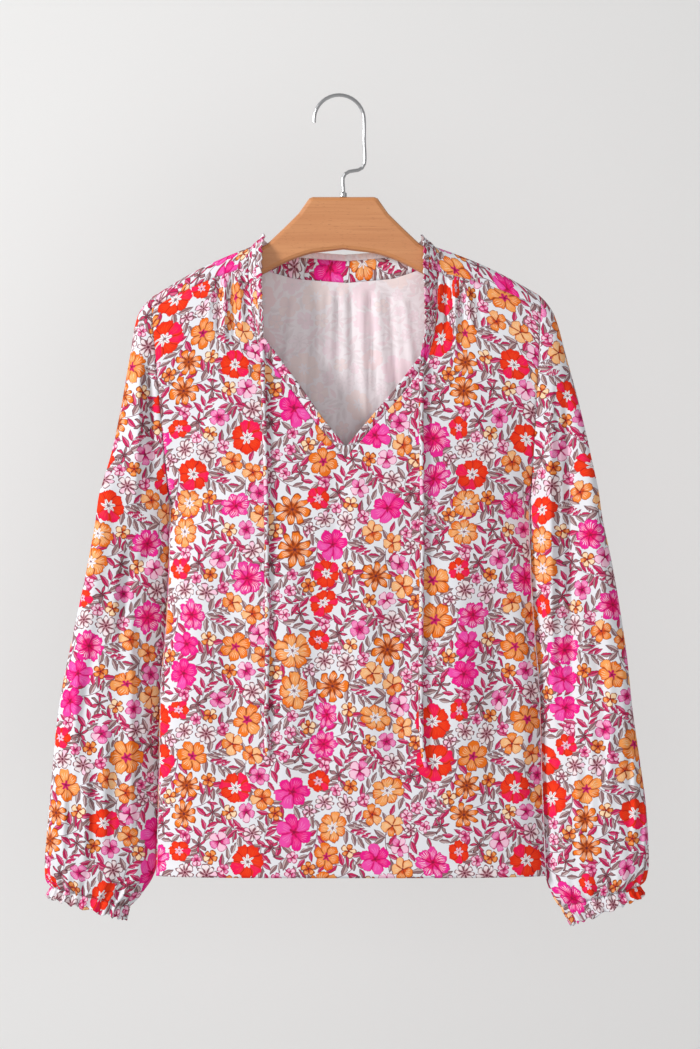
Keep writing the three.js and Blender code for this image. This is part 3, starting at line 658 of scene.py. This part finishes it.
def look_up(kind, values):
    """A colour for each whole number, read from a ramp with one flat step for each."""
    made = colour_node("ShaderNodeValToRGB")
    ramp = made.color_ramp
    ramp.interpolation = "CONSTANT"
    while len(ramp.elements) < len(values):
        ramp.elements.new(0.5)
    for i, value in enumerate(values):
        ramp.elements[i].position = i / RAMP_STEPS
        ramp.elements[i].color = value
    Flow.tree.links.new(((kind + 0.5) / RAMP_STEPS).socket, made.inputs[0])
    return made.outputs[0]


def numbers(kind, rows):
    """Three columns of numbers for each kind, which are below NUMBER_TOP, from one ramp."""
    split = colour_node("ShaderNodeSeparateColor")
    Flow.tree.links.new(look_up(kind, [(*(v / NUMBER_TOP for v in row), 1) for row in rows]), split.inputs[0])
    return [Flow(out) * NUMBER_TOP for out in split.outputs[:3]]


def noise_of(x, y, scale, detail=1.0):
    place = colour_node("ShaderNodeCombineXYZ")
    Flow.tree.links.new(x.socket, place.inputs[0])
    Flow.tree.links.new(y.socket, place.inputs[1])
    made = colour_node("ShaderNodeTexNoise", noise_dimensions="2D")
    made.inputs["Scale"].default_value = scale
    made.inputs["Detail"].default_value = detail
    Flow.tree.links.new(place.outputs[0], made.inputs["Vector"])
    return Flow(made.outputs[0]) - 0.5


def motif_place(layer):
    """Place within the motif, its kind and its seed, from the map that place_motifs made."""
    uv = colour_node("ShaderNodeUVMap", uv_map=layer)
    split = colour_node("ShaderNodeSeparateXYZ")
    Flow.tree.links.new(uv.outputs[0], split.inputs[0])
    u, v = Flow(split.outputs[0]), Flow(split.outputs[1])
    kind = Flow.make("FLOOR", u / STEP + 0.5)
    seed = Flow.make("FLOOR", v / STEP + 0.5)
    return u - kind * STEP, v - seed * STEP, kind, seed


def draw_flowers(under, layer):
    x, y, kind, seed = motif_place(layer)
    rows = [blooms[name] for name in layers[layer]]
    petals, cut, ragged = numbers(kind, [r[0][0:3] for r in rows])
    streak, edge, heart = numbers(kind, [r[0][3:6] for r in rows])
    points, odd, rounded = numbers(kind, [r[0][6:9] for r in rows])
    inner, outer, other, light, line, middle, heart_line = (
        look_up(kind, [srgb(r[i]) for r in rows]) for i in range(1, 8)
    )
    rough = noise_of(x + seed * 3, y, 4.0, 2.0)
    radius = (x * x + y * y) ** 0.5 + rough * ragged * 2.4
    turn = Flow.make("ARCTAN2", y, x) / (2 * math.pi) + 0.5 + noise_of(x + seed * 5, y + 9.0, 1.3) * 0.1
    step = turn * Flow.make("ROUND", petals)
    number = Flow.make("FLOOR", step)
    across = Flow.make("FRACT", step) - 0.5
    side = abs(across) * 2
    luck = hashed(number + seed * 7 + 1)
    reach = (1 - (1 - cut) * side ** rounded) * (0.96 + luck * 0.14)
    inside = below(radius, reach, 0.03)
    colour = paint(inner, outer, below(heart, radius - 0.08, 0.34))
    colour = paint(colour, other, below(1 - odd, luck, 0.02) * below(side, 0.85, 0.3))
    comb = abs(Flow.make("SINE", across * 18 + rough * 3))
    band = below(abs(radius - heart * 0.4 - 0.48), 0.24, 0.14) * below(side, 0.8, 0.25)
    colour = paint(colour, light, band * streak * below(comb, 0.75, 0.4))
    hatch = below(abs(Flow.make("SINE", across * 9.4 + rough)), 0.3, 0.2) * below(radius, heart + 0.25, 0.15)
    colour = paint(colour, line, hatch * 0.4)
    seams = below((1 - side) * radius / petals * 3.1, edge, 0.03) * below(heart * 0.8, radius, 0.1)
    rim = below(reach - radius, edge * 1.5, 0.03)
    colour = paint(colour, line, Flow.make("MAXIMUM", seams, rim) * 0.9)
    star = heart * (0.8 + 0.25 * Flow.make("COSINE", turn * Flow.make("ROUND", points) * (2 * math.pi)))
    colour = paint(colour, middle, below(radius, star, 0.03))
    spoke = abs(Flow.make("SINE", turn * Flow.make("ROUND", points) * math.pi))
    marks = Flow.make("MAXIMUM", below(spoke * radius, 0.06, 0.05), below(radius, 0.1, 0.04))
    marks = Flow.make("MAXIMUM", marks, below(abs(radius - star), 0.02, 0.03))
    colour = paint(colour, heart_line, marks * below(radius, star + 0.03, 0.02) * 0.85)
    return paint(under, colour, inside)


def draw_stems(under):
    x, y, kind, _ = motif_place("stem")
    line = (1 - x * x) * STEM_BEND * (1 - 2 * kind)
    stem = below(abs(y - line), 0.04, 0.03) * below(abs(x), 1.0, 0.04)
    return paint(under, (128, 72, 88), stem)


def draw_leaves(under, layer):
    """Leaves pointed at both ends, in two tones, with a drawn edge, midrib and side veins."""
    x, y, kind, seed = motif_place(layer)
    rough = noise_of(x + seed * 3, y, 3.0, 2.0)
    y = y - (seed - 3) * 0.045 * (1 - x * x)
    width = (0.38 + rough * 0.2) * (1 - x * x) * (1 - 0.3 * x)
    dark, light, line = (look_up(kind, [srgb(c[i]) for c in leaf_colours.values()]) for i in range(3))
    colour = paint(dark, light, below(y + rough * 0.1, 0.0, 0.05))
    veins = below(abs(Flow.make("SINE", (x - abs(y) * 1.5) * 9)), 0.22, 0.2) * 0.45
    marks = Flow.make("MAXIMUM", below(abs(y), 0.06, 0.05), below(width - abs(y), 0.12, 0.06))
    colour = paint(colour, line, Flow.make("MAXIMUM", marks * 0.9, veins))
    return paint(under, colour, below(abs(y), width, 0.05))


def printed(name, base, strength):
    """Cloth with the print at a given strength over its base colour."""
    material = bpy.data.materials.new(name)
    material.use_nodes = True
    Flow.tree = material.node_tree
    shader = material.node_tree.nodes["Principled BSDF"]
    ground = paint(base, base, 0.0)
    colour = draw_stems(ground)
    colour = draw_leaves(colour, "leaf_left")
    colour = draw_leaves(colour, "leaf_right")
    colour = draw_flowers(colour, "small")
    colour = draw_flowers(colour, "large")
    colour = paint(base, colour, strength)
    material.node_tree.links.new(colour, shader.inputs["Base Color"])
    shader.inputs["Roughness"].default_value = 0.85
    shader.inputs["Specular IOR Level"].default_value = 0.25
    return material


cloth_out = printed("printed_cloth", (231, 231, 236), 1.0)
Flow.blur = 3.0
cloth_in = printed("wrong_side", (240, 231, 234), 0.13)
Flow.blur = 1.0
cloth = [cloth_out, cloth_in]


TIE_RINGS = 180
TIE_SIDES = 12


def make_tie(name):
    route = np.array(tie_routes[name], float)
    line = smooth_along(route, np.linspace(0, len(route) - 1, TIE_RINGS))
    ahead = np.gradient(line, axis=0)
    ahead /= np.linalg.norm(ahead, axis=1, keepdims=True)
    side = np.cross(ahead, [0, 1, 0])
    side /= np.linalg.norm(side, axis=1, keepdims=True)
    out = np.cross(side, ahead)
    turn = np.arange(TIE_SIDES + 1) / TIE_SIDES * 2 * np.pi
    radius = TIE_DIAMETER / 2
    ring = side[:, None] * np.cos(turn)[None, :, None] + out[:, None] * np.sin(turn)[None, :, None]
    grid = line[:, None] + ring * radius
    caps = [np.broadcast_to(end, (1, TIE_SIDES + 1, 3)) for end in (line[0], line[-1])]
    grid = np.concatenate([caps[0], grid, caps[1]])
    flats = np.stack(np.broadcast_arrays((turn * radius)[None, :], -grid[:, :1, 2]), -1).reshape(-1, 2)
    faces = grid_faces(len(grid), TIE_SIDES + 1)
    points, joined, _ = weld(grid.reshape(-1, 3), faces)
    mesh = bpy.data.meshes.new(name)
    mesh.from_pydata((points * MM).tolist(), [], joined.tolist())
    mesh.polygons.foreach_set("use_smooth", [True] * len(joined))
    mesh.materials.append(cloth_out)
    mesh.validate()
    mesh.update()
    print_on(mesh, flats[faces])
    piece = bpy.data.objects.new(name + "_cord", mesh)
    bpy.context.collection.objects.link(piece)
    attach(piece, "root")
    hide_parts(name)
    tuple(line[0] * MM)
    [tuple(p) for p in line * MM]


make_tie("tie_left")
make_tie("tie_right")

# Folds, listed one by one: each is a line of (x, z) points, its half width, its height and the side on which
# it falls away steeply: -1 left, 1 right, 0 neither
shoulder_gathers = [
    ([(-127, -184), (-132, -238)], 2.4, 2.2, 0), ([(-120, -182), (-122, -256)], 2.2, -2.6, 0),
    ([(-114, -180), (-113, -276)], 2.6, 3.4, 1), ([(-108, -178), (-104, -262)], 2.0, -2.8, 0),
    ([(-102, -177), (-95, -250)], 2.4, 2.6, -1), ([(-97, -176), (-88, -232)], 1.8, -1.8, 0),
    ([(-117, -180), (-118, -228)], 1.4, -1.6, 0), ([(-105, -178), (-99, -226)], 1.4, 1.4, 0),
    ([(102, -181), (97, -242)], 2.0, 2.2, 0), ([(108, -182), (106, -256)], 2.2, -2.8, 0),
    ([(115, -183), (117, -278)], 2.6, 3.2, -1), ([(121, -185), (126, -258)], 2.2, -2.6, 0),
    ([(128, -187), (136, -246)], 2.4, 2.4, 1), ([(134, -189), (145, -234)], 2.0, -1.7, 0),
    ([(111, -182), (110, -230)], 1.4, 1.4, 0), ([(124, -186), (130, -228)], 1.4, -1.4, 0),
]
front_folds = shoulder_gathers + [
    ([(-170, -395), (-120, -330), (-95, -270)], 11, 2.2, 0),
    ([(-166, -420), (-130, -395), (-80, -385)], 9, -2, 0),
    ([(190, -395), (140, -330), (112, -280)], 11, 2.2, 0),
    ([(186, -420), (150, -398), (95, -390)], 9, -2, 0),
    ([(-140, -420), (-147, -560), (-138, -720)], 16, 3.2, 0),
    ([(-112, -440), (-105, -600), (-112, -780)], 13, -2.4, 0),
    ([(-52, -400), (-48, -560), (-58, -770)], 15, 2.8, 0),
    ([(-20, -470), (-14, -600), (-22, -780)], 14, -2, 0),
    ([(30, -380), (24, -560), (30, -770)], 15, 2.4, 0), ([(62, -420), (58, -600), (66, -780)], 12, -2.2, 0),
    ([(115, -400), (122, -560), (112, -760)], 15, 3, 0),
    ([(152, -440), (160, -600), (150, -780)], 13, -2.6, 0),
    ([(-6, -352), (-4, -420), (0, -500)], 8, -1.8, 0), ([(20, -352), (16, -400), (14, -470)], 7, 1.6, 0),
    ([(178, -470), (186, -620), (180, -770)], 9, 2.2, 0),
    ([(-160, -470), (-166, -620), (-160, -770)], 9, 2, 0),
]
back_folds = [
    ([(-28, -186), (-32, -250), (-40, -380)], 3.4, 2.2, 0),
    ([(-7, -188), (-9, -240), (-12, -330)], 2.2, -2.2, 0),
    ([(-1, -188), (-1, -260), (-4, -420)], 2.4, 2.4, 1), ([(5, -188), (6, -245), (8, -360)], 2.0, -2.2, 0),
    ([(12, -188), (13, -240), (18, -310)], 2.2, 2, 0), ([(23, -188), (24, -260), (30, -400)], 2.6, -2.6, 0),
    ([(31, -187), (33, -250), (40, -340)], 2.4, 2.4, -1),
    ([(39, -187), (42, -245), (52, -330)], 2.4, -2, 0), ([(50, -185), (55, -250), (66, -380)], 3.2, 2.4, 0),
    ([(64, -182), (70, -240), (84, -340)], 3.4, -2.2, 0),
    ([(-45, -185), (-52, -250), (-66, -360)], 3.2, -2.2, 0),
    ([(-17, -187), (-19, -240), (-26, -330)], 2.8, -1.8, 0),
    ([(-60, -300), (-66, -500), (-60, -760)], 16, 3, 0), ([(0, -360), (6, -560), (-4, -770)], 15, 2.6, 0),
    ([(80, -300), (86, -500), (82, -760)], 16, 3, 0),
    ([(-125, -400), (-132, -580), (-122, -770)], 14, -2.8, 0),
    ([(150, -400), (156, -580), (146, -770)], 14, -2.8, 0),
    ([(40, -420), (44, -600), (38, -780)], 12, -2.2, 0),
    ([(-34, -420), (-30, -600), (-36, -780)], 12, -2.2, 0),
    ([(118, -380), (116, -560), (120, -770)], 10, 2, 0),
]
sleeve_folds = {
    "left": [
        ([(-191, -255), (-189, -320), (-186, -400)], 4, -3.4, 0),
        ([(-198, -250), (-200, -340), (-206, -440)], 8, 3.2, 1),
        ([(-207, -500), (-208, -640), (-208, -782)], 9, 3.6, 1),
        ([(-196, -520), (-197, -640), (-200, -770)], 7, 2, 0),
        ([(-231, -600), (-233, -700), (-234, -792)], 7, 2.8, 1),
        ([(-222, -470), (-223, -560), (-224, -600)], 8, 2, 1),
        ([(-250, -660), (-252, -730), (-254, -796)], 6, 2.6, 1),
        ([(-240, -300), (-236, -400), (-232, -460)], 7, 1.8, 0),
        ([(-272, -680), (-274, -745), (-276, -795)], 6, 2.2, 1),
        ([(-262, -560), (-264, -640), (-264, -700)], 6, 2, -1),
        ([(-222, -330), (-240, -450), (-258, -600)], 9, 3, 0),
        ([(-205, -430), (-218, -520), (-230, -590)], 6, -2.6, 0),
        ([(-178, -440), (-196, -470), (-228, -500)], 7, -2, 0),
        ([(-240, -520), (-252, -600), (-262, -660)], 6, -2, 0),
    ],
    "right": [
        ([(213, -262), (214, -420), (216, -560), (218, -690)], 9, 4.2, 1),
        ([(227, -262), (230, -420), (232, -560), (233, -692)], 5, -4.6, 0),
        ([(268, -540), (270, -660), (269, -765)], 8, 3.4, -1),
        ([(281, -520), (284, -640), (282, -780)], 7, 2.2, 0),
        ([(250, -600), (252, -700), (253, -792)], 6, 2.6, -1),
        ([(244, -300), (252, -400), (256, -470)], 8, 2.2, 0),
        ([(292, -640), (294, -720), (292, -790)], 6, 2.4, -1),
        ([(236, -650), (239, -730), (243, -796)], 6, 2.4, -1),
        ([(262, -640), (264, -720), (262, -795)], 4, 1.8, 0),
        ([(301, -680), (304, -730), (302, -788)], 4, 1.8, -1),
        ([(240, -330), (258, -450), (276, -590)], 9, 2.8, 0),
        ([(205, -440), (226, -470), (258, -505)], 7, -2, 0),
        ([(250, -500), (262, -590), (268, -640)], 7, -2, 0),
        ([(222, -700), (226, -750), (231, -800)], 5, 2, -1),
    ],
}
HEM_DEPTH = 12
HEM_RISE = 0.5
SEAM_GROOVE = 0.6
SEAM_WIDTH = 1.5
# The print is drawn together under the gathers of the shoulders: the middle of each gather from the
# middle of the front, how far the print moves, over what width, and between which heights it fades
GATHER_MIDDLE = {"left": 118, "right": 109}
GATHERED_PRINT = 24
GATHERED_WIDTH = 14
GATHER_LOW, GATHER_HIGH = -285, -190


def fold_height(x, z, folds):
    """Height of all folds at each place. A fold is highest in its middle, dies out at both ends and
    falls away more steeply on its left or right where it leans that way."""
    total = np.zeros_like(x)
    for line, width, height, lean in folds:
        line = np.array(line, float)
        steps = np.diff(line, axis=0)
        lengths = np.linalg.norm(steps, axis=1)
        before = np.concatenate([[0], np.cumsum(lengths)])
        nearest = np.full_like(x, 1e9)
        along = np.zeros_like(x)
        beside = np.zeros_like(x)
        for start, step, length, done in zip(line[:-1], steps, lengths, before):
            share = np.clip(((x - start[0]) * step[0] + (z - start[1]) * step[1]) / length**2, 0, 1)
            distance = np.hypot(x - start[0] - share * step[0], z - start[1] - share * step[1])
            closer = distance < nearest
            along = np.where(closer, (done + share * length) / before[-1], along)
            beside = np.where(closer, x - start[0] - share * step[0], beside)
            nearest = np.minimum(distance, nearest)
        reach = width * np.where(beside * lean > 0, 0.3, 1)
        top = fade(along, -0.02, 0.12) if width < 4 else fade(along, 0, 0.3)
        total += height * np.exp(-((nearest / reach) ** 2)) * top * (1 - fade(along, 0.55, 1))
    return total


def soften(p, rounds=24):
    """Evens out the depth of a panel between its edges, which stay."""
    for _ in range(rounds):
        y = p[..., 1]
        mean = (y[:-2, 1:-1] + y[2:, 1:-1] + y[1:-1, :-2] + y[1:-1, 2:]) / 4
        p[1:-1, 1:-1, 1] = mean
    return p


def finish_cloth(piece, node):
    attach(piece, "root")
    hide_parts(node)


def make_panel(name, half, rows, outward, folds):
    t, u, left, right = panel(half, rows)
    grids, flats, faces, seams = [], [], [], []
    for side, p in (("left", left), ("right", right)):
        across = flat_across(p, MID_X) * (-1 if side == "left" else 1) * outward
        up = flat_up(p)
        if outward > 0:
            beside = np.abs(p[..., 0] - MID_X) - GATHER_MIDDLE[side]
            squeeze = GATHERED_PRINT * np.tanh(beside / GATHERED_WIDTH)
            squeeze = squeeze * fade(p[..., 2], GATHER_LOW, GATHER_HIGH)
            across = across + squeeze * (-1 if side == "left" else 1)
        grid = grid_faces(len(t), len(u), start=sum(len(x) for x in grids))
        if (side == "left") == (outward > 0):
            grid = grid[:, ::-1]
        p = soften(p)
        seam = np.broadcast_to((1 - u)[None, :] * 190, p.shape[:2]).copy()
        seam = np.minimum(seam, (t[-1] - t)[:, None] * 30)
        grids.append(p.reshape(-1, 3))
        flats.append(np.stack([across, up], -1).reshape(-1, 2))
        seams.append(seam.ravel())
        faces.append(grid)
    seams = np.concatenate(seams)

    def heights(points, normals, first):
        x, z = points[:, 0], points[:, 2]
        rise = fold_height(x, z, folds) * fade(seams[first], 0, 12)
        hem_top = body["z"][0] + HEM_DEPTH
        rise = rise + HEM_RISE * (1 - fade(z, hem_top - 2, hem_top))
        return rise - SEAM_GROOVE * np.exp(-((seams[first] / SEAM_WIDTH) ** 2))

    return shell(name, np.concatenate(grids), np.concatenate(flats), np.concatenate(faces), heights)


front = make_panel("front_cloth", front_half, 16, 1, front_folds)
finish_cloth(front, "front")


def back_from_hem(side, t, u):
    return back_half(side, 20 - t, u)


back = make_panel("back_cloth", back_from_hem, 20, -1, back_folds)
finish_cloth(back, "back")

SLEEVE_COLUMNS = 152
SLEEVE_TILT = math.radians(9)
SLEEVE_FOLD_DEPTH = 1.6
CUFF_GATHERS = 26
GATHER_HEIGHT = 2.0
FRILL_HEIGHT = 3.0
FRILL_DROP = 1.6


def gather_wave(turn, seed):
    """Uneven gathers round an elastic, from -1 to 1."""
    drift = 0.9 * np.sin(2 * np.pi * 3 * turn + seed) + 0.7 * np.sin(2 * np.pi * 7 * turn + 2 * seed)
    size = 0.75 + 0.25 * np.sin(2 * np.pi * 5 * turn + 3 * seed)
    return size * np.sin(2 * np.pi * CUFF_GATHERS * turn + drift)


def make_sleeve(side, first_row, last_row, name, node):
    section = sleeves[side]
    line_t = np.linspace(first_row, last_row, 300)
    at = {column: smooth_along(values, line_t) for column, values in section.items()}
    middle = np.stack([at["ox"] + at["ix"], at["oy"] + at["iy"], at["oz"] + at["iz"]], 1) / 2
    t = even_rows((line_t, middle), CELL if last_row == SLEEVE_ROWS else CELL / 2)
    turn = 0.5 + np.linspace(0, 1, SLEEVE_COLUMNS + 1)
    at = {column: smooth_along(values, t)[:, None] for column, values in section.items()}
    p = ring_point(at, turn[None, :])
    drop = FRILL_DROP * np.sin(2 * np.pi * 19 * turn + 1.1 * np.sin(2 * np.pi * 5 * turn))
    p[..., 2] += fade(t, 11, 12)[:, None] * drop[None, :]
    sign = -1 if side == "left" else 1
    tilt = sign * SLEEVE_TILT
    across = p[..., 0] * math.cos(tilt) + p[..., 2] * math.sin(tilt)
    up = p[..., 2] * math.cos(tilt) - p[..., 0] * math.sin(tilt)
    step = np.hypot(np.diff(across, axis=1), np.diff(p[..., 1], axis=1))
    length = np.concatenate([np.zeros((len(p), 1)), np.cumsum(step, axis=1)], axis=1)
    outer = SLEEVE_COLUMNS // 2
    round_it = across[:, outer : outer + 1] + (length - length[:, outer : outer + 1]) * -sign
    # Behind, the print is mirrored at the outer edge of its own height, not of its slanting row
    outer_edge = np.interp(up[:, :outer], up[::-1, outer], across[::-1, outer])
    round_it[:, :outer] += 2 * (outer_edge - across[:, outer : outer + 1])
    front_middle = round_it[:, 3 * outer // 2 : 3 * outer // 2 + 1]
    spread = 1 + 0.5 * fade(t, 9.3, 11)[:, None]
    flats = np.stack([front_middle + (round_it - front_middle) * spread, up], -1).reshape(-1, 2)
    faces = grid_faces(len(t), len(turn))
    if side == "left":
        faces = faces[:, ::-1]
    rows = np.repeat(t, len(turn))
    turns = np.tile(turn, len(t))

    def heights(points, normals, first):
        x, z = points[:, 0], points[:, 2]
        row, around = rows[first], turns[first]
        facing = np.clip(-normals[:, 1] * 1.6, 0, 1)
        behind = np.clip(normals[:, 1] * 1.6, 0, 1)
        rise = SLEEVE_FOLD_DEPTH * fold_height(x, z, sleeve_folds[side]) * (facing + 0.8 * behind)
        rise = rise * fade(row, 0, 0.5) * (1 - fade(row, 10.2, 11))
        gather = GATHER_HEIGHT * fade(row, 8.2, 10.8) ** 1.5 * (1 - fade(row, 11, 12))
        gather = gather + FRILL_HEIGHT * fade(row, 11, 12)
        long_ones = 1.2 * fade(row, 7.5, 10) * (1 - fade(row, 10.3, 11))
        long_ones = long_ones * np.sin(2 * np.pi * 11 * around + 1.3)
        neck = -1.1 * np.exp(-(((row - 11) / 0.12) ** 2))
        seam = -0.6 * np.exp(-((row / 0.08) ** 2))
        return rise + gather * gather_wave(around, 1 if side == "left" else 2) + long_ones + neck + seam

    piece = shell(name, p.reshape(-1, 3), flats, faces, heights)
    finish_cloth(piece, node)


for side in ("left", "right"):
    sleeve, cuff = f"sleeve_{side}", f"cuff_{side}"
    make_sleeve(side, 0, SLEEVE_ROWS, f"{sleeve}_cloth", sleeve)
    make_sleeve(side, SLEEVE_ROWS, SLEEVE_ROWS + 1, f"{cuff}_cloth", cuff)


# Neck: the band, its frill, and the bound edges of the split
def neck_lines():
    left = np.array(front_inner["left"][SPLIT_TOP:] + back_inner["left"][1:], float)
    right = np.array(front_inner["right"][SPLIT_TOP:] + back_inner["right"][1:-1], float)
    away = np.stack([neck_edges["dx"], neck_edges["dy"], neck_edges["dz"]], 1)
    mirror = away * (-1, 1, 1)
    band = neck_edges["band"][:, None]

    def whole(share_left, share_right):
        rows = len(right)
        return np.concatenate([left + away * share_left, (right + mirror[:rows] * share_right)[::-1]])

    return whole(0, 0), whole(band, band[: len(right)]), whole(1, 1)


def make_strip(
    name, node, low, high, rows, cell, heights, thickness=1.0, flip=False, folded=True
):
    """A ribbon of cloth between two lines of points."""
    low, high = np.array(low, float), np.array(high, float)
    line_t = np.linspace(0, len(low) - 1, 400)
    t = even_rows((line_t, straight_along((low + high) / 2, line_t)), cell)
    share = np.linspace(0, 1, rows)
    a, b = straight_along(low, t), straight_along(high, t)
    p = a[None] + (b - a)[None] * share[:, None, None]
    length = np.concatenate([[0], np.cumsum(np.linalg.norm(np.diff((a + b) / 2, axis=0), axis=1))])
    width = np.linalg.norm(b - a, axis=1).mean()
    flats = np.stack(np.broadcast_arrays(length[None, :] * 1.15, share[:, None] * width + 37), -1)
    faces = grid_faces(rows, len(t))
    if flip:
        faces = faces[:, ::-1]
    across, along = np.repeat(share, len(t)), np.tile(length, rows)
    piece = shell(
        name,
        p.reshape(-1, 3),
        flats.reshape(-1, 2),
        faces,
        lambda points, normals, first: heights(across[first], along[first]),
        thickness,
        folded,
    )
    finish_cloth(piece, node)
    return piece


def band_height(across, along):
    puckers = np.sin(along * 1.25 + 0.8 * np.sin(along * 0.21)) * 0.35
    return puckers * np.sin(np.pi * across) + 0.5 * np.sin(np.pi * across) ** 0.5 - 0.3


def frill_height(across, along):
    wave = np.sin(along * 0.86 + 0.9 * np.sin(along * 0.13) + 0.6) * (0.8 + 0.2 * np.sin(along * 0.3))
    return wave * 1.6 * across


def binding_height(across, along):
    return 0.7 * np.sin(np.pi * across) ** 0.4 - 0.3 + 0.15 * np.sin(along * 0.9) * np.sin(np.pi * across)


seam_line, top_line, edge_line = neck_lines()
frill = make_strip(
    "neck_frill_cloth", "neck_frill", top_line, edge_line, 6, 1.2, frill_height, 0.7,
    flip=True, folded=False,
)
make_strip(
    "neckband_cloth", "neckband", seam_line, top_line, 7, 1.5, band_height,
    flip=True,
)
for side in ("left", "right"):
    seam = front_inner[side][SPLIT_BOTTOM : SPLIT_TOP + 1]
    make_strip(
        f"split_binding_{side}_cloth", f"split_binding_{side}", seam, split_edge[side], 7, 2.0,
        binding_height, 1.2, flip=side == "left",
    )


# Hanger: the wood and the wire
def wood():
    material = bpy.data.materials.new("beech")
    material.use_nodes = True
    Flow.tree = material.node_tree
    shader = material.node_tree.nodes["Principled BSDF"]
    place = colour_node("ShaderNodeTexCoord")
    split = colour_node("ShaderNodeSeparateXYZ")
    Flow.tree.links.new(place.outputs["Object"], split.inputs[0])
    x, z = Flow(split.outputs[0]), Flow(split.outputs[2])
    broad = noise_of(x * 4.0, z * 60.0, 1.0, 3.0)
    fine = noise_of(x * 14.0, z * 700.0, 1.0, 2.0)
    fleck = noise_of(x * 160.0, z * 1500.0, 1.0, 1.0)
    colour = paint((200, 132, 82), (214, 148, 96), below(broad, 0.12, 0.35))
    colour = paint(colour, (178, 112, 66), below(fine, -0.04, 0.25) * 0.5)
    colour = paint(colour, (150, 92, 54), below(fleck, -0.2, 0.06) * 0.5)
    material.node_tree.links.new(colour, shader.inputs["Base Color"])
    shader.inputs["Roughness"].default_value = 0.45
    return material


def dress(node, material):
    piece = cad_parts[node]
    piece.data.materials.clear()
    piece.data.materials.append(material)


steel = plain("steel", (0.5, 0.5, 0.51), 0.3, 1.0)
dress("hanger_board", wood())
dress("hanger_hook", steel)
dress("hanger_ferrule", steel)
for node in ("hanger_board", "hanger_hook", "hanger_ferrule"):
    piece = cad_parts[node]
    bpy.ops.object.select_all(action="DESELECT")
    piece.select_set(True)
    bpy.context.view_layer.objects.active = piece
    bpy.ops.object.shade_smooth_by_angle(angle=math.radians(50))
bpy.ops.object.select_all(action="DESELECT")

# Wall behind, seen only from its front, and the light
WALL_Y = 0.9
LIGHT_AIM = (0.0, 0.0, -0.45)
SKY_STRENGTH = 0.4


def wall_look():
    material = plain("wall", srgb((238, 238, 237))[:3], 0.95)
    tree = material.node_tree
    shader = tree.nodes["Principled BSDF"]
    out = tree.nodes["Material Output"]
    geometry = tree.nodes.new("ShaderNodeNewGeometry")
    clear = tree.nodes.new("ShaderNodeBsdfTransparent")
    choice = tree.nodes.new("ShaderNodeMixShader")
    tree.links.new(geometry.outputs["Backfacing"], choice.inputs[0])
    tree.links.new(shader.outputs[0], choice.inputs[1])
    tree.links.new(clear.outputs[0], choice.inputs[2])
    tree.links.new(choice.outputs[0], out.inputs["Surface"])
    return material


bpy.ops.mesh.primitive_plane_add(size=8, location=(0, WALL_Y, 0), rotation=(math.radians(90), 0, 0))
wall = bpy.context.object
wall.name = "wall"
wall.data.materials.append(wall_look())


def lamp(name, place, energy, size):
    data = bpy.data.lights.new(name, "AREA")
    data.energy = energy
    data.size = size
    made = bpy.data.objects.new(name, data)
    made.location = place
    aim = np.array(LIGHT_AIM) - np.array(place)
    flat_length = math.hypot(aim[0], aim[1])
    made.rotation_euler = (math.pi / 2 + math.atan2(aim[2], flat_length), 0, math.atan2(-aim[0], aim[1]))
    bpy.context.collection.objects.link(made)


lamp("key", (-3.0, -1.9, 0.7), 106, 0.8)
lamp("front", (0.3, -3.2, -0.6), 22, 1.2)

world = bpy.context.scene.world or bpy.data.worlds.new("world")
bpy.context.scene.world = world
world.use_nodes = True
world.node_tree.nodes["Background"].inputs[0].default_value = (1, 1, 1, 1)
world.node_tree.nodes["Background"].inputs[1].default_value = SKY_STRENGTH
bpy.context.scene.view_settings.view_transform = "Standard"
